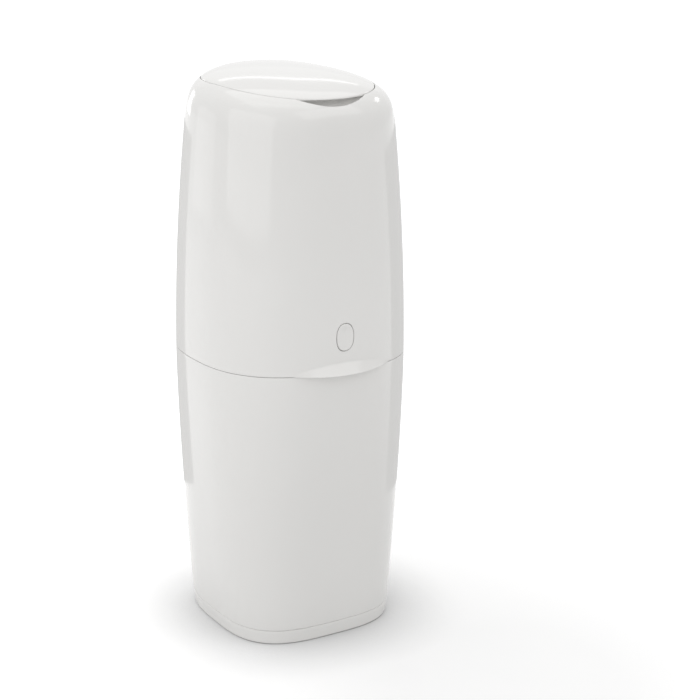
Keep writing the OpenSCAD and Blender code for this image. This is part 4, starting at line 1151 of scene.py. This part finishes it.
def curved_screen():
    """An upright edge spun part of the way round the part."""
    mat, tree = empty_finish("screen_grey")
    even = node_of(tree, "ShaderNodeEmission", Color=(1, 1, 1, 1), Strength=SCREEN_LEVEL)
    tree.links.new(even.outputs[0], tree.nodes["Material Output"].inputs["Surface"])
    mat.cycles.emission_sampling = "NONE"
    bm = bmesh.new()
    x, y = SCREEN_R * math.sin(SCREEN_FROM), SCREEN_R * math.cos(SCREEN_FROM)
    bm.edges.new([bm.verts.new((x, y, z)) for z in (SCREEN_LIFT, SCREEN_H)])
    bmesh.ops.spin(bm, geom=bm.verts[:] + bm.edges[:], cent=(0, 0, 0), axis=(0, 0, -1),
                   angle=SCREEN_TURN, steps=SCREEN_PANES)
    screen = plain_object("grey_screen", bm, mat)
    screen.visible_camera = screen.visible_diffuse = False
    screen.visible_shadow = screen.visible_transmission = False
    return screen


studio_floor = white_floor()
grey_screen = curved_screen()

world = bpy.data.worlds.new("studio")
bpy.context.scene.world = world
world.use_nodes = True
tree = world.node_tree
ground = tree.nodes["Background"]
mixed = node_of(tree, "ShaderNodeMapRange", To_Min=WORLD_LEVEL, To_Max=1.0)
tree.links.new(rays_seen(tree), mixed.inputs["Value"])
tree.links.new(mixed.outputs[0], ground.inputs["Strength"])
ground.inputs["Color"].default_value = (1, 1, 1, 1)


def soft_box(name, place, aim, size, watts, roll=0.0):
    """A soft lamp that lights the part and shows in its gloss, but not in the picture."""
    data = bpy.data.lights.new(name, "AREA")
    data.shape, data.size, data.size_y = "RECTANGLE", size[0], size[1]
    data.energy = watts
    lamp = bpy.data.objects.new(name, data)
    bpy.context.scene.collection.objects.link(lamp)
    lamp.location = place
    facing = (Vector(aim) - Vector(place)).to_track_quat("-Z", "Y")
    lamp.rotation_euler = (facing @ Quaternion((0, 0, 1), math.radians(roll))).to_euler()
    lamp.visible_camera = False


soft_box("key_left", (-2.5, -0.6, 1.25), (0, 0, 0.35), (3.8, 2.3), 20.5)
soft_box("overhead", (0.2, 0.35, 2.6), (0, 0, 0.3), (2.6, 2.6), 12.3)
soft_box("ceiling_line", (-0.39, -0.03, 2.5), (-0.39, -0.03, 0), (2.7, 0.05), 0.7, -41.5)
soft_box("fill_right", (2.1, -1.5, 1.0), (0, 0, 0.35), (2.2, 2.0), 1)
soft_box("front_high", (0.8, -1.6, 2.0), (0, 0, 0.35), (2.0, 1.2), 6.5)
soft_box("left_back", (-1.54, 1.97, 0.5), (0, 0, 0.45), (0.95, 0.8), 0.7)
soft_box("lid_box", (1.01, 1.98, 1.53), (0, 0, 0.59), (2.2, 0.6), 0.3)
soft_box("lid_strip", (1.04, 1.96, 1.74), (0, 0, 0.59), (1.3, 0.06), 0.35)
soft_box("shoulder_strip", (-0.31, 2.48, 0.74), (0, 0, 0.55), (0.48, 0.72), 1.7)
soft_box("right_glint", (1.88, 0.40, 1.66), (0, 0, 0.59), (0.5, 0.25), 1.0)

# camera, at the photograph's view
PHOTO_PX, FOCAL_PX, SENSOR = 700, 1689.5, 36.0
# how far left of the picture's middle the bin stands, at the focal length of the fit
ASIDE_PX, FITTED_FOCAL_PX = 60.2, 1682.4
AZIMUTH, FAR, UP, PITCH = math.radians(29.7), 1.747, 0.8049, 0.2836
scene = bpy.context.scene
lens = bpy.data.cameras.new("photo_view")
lens.sensor_width = SENSOR
lens.lens = FOCAL_PX / PHOTO_PX * SENSOR
camera = bpy.data.objects.new("photo_view", lens)
scene.collection.objects.link(camera)
aimed = Matrix.Rotation(-AZIMUTH, 4, "Z") @ Matrix.Rotation(math.pi / 2 - PITCH, 4, "X")
aimed = aimed @ Matrix.Rotation(-math.atan(ASIDE_PX / FITTED_FOCAL_PX), 4, "Y")
camera.matrix_world = Matrix.Translation(
    (-FAR * math.sin(AZIMUTH), -FAR * math.cos(AZIMUTH), UP)) @ aimed
lens.clip_start, lens.clip_end = 0.05, 50
scene.camera = camera
scene.view_settings.view_transform = "Standard"
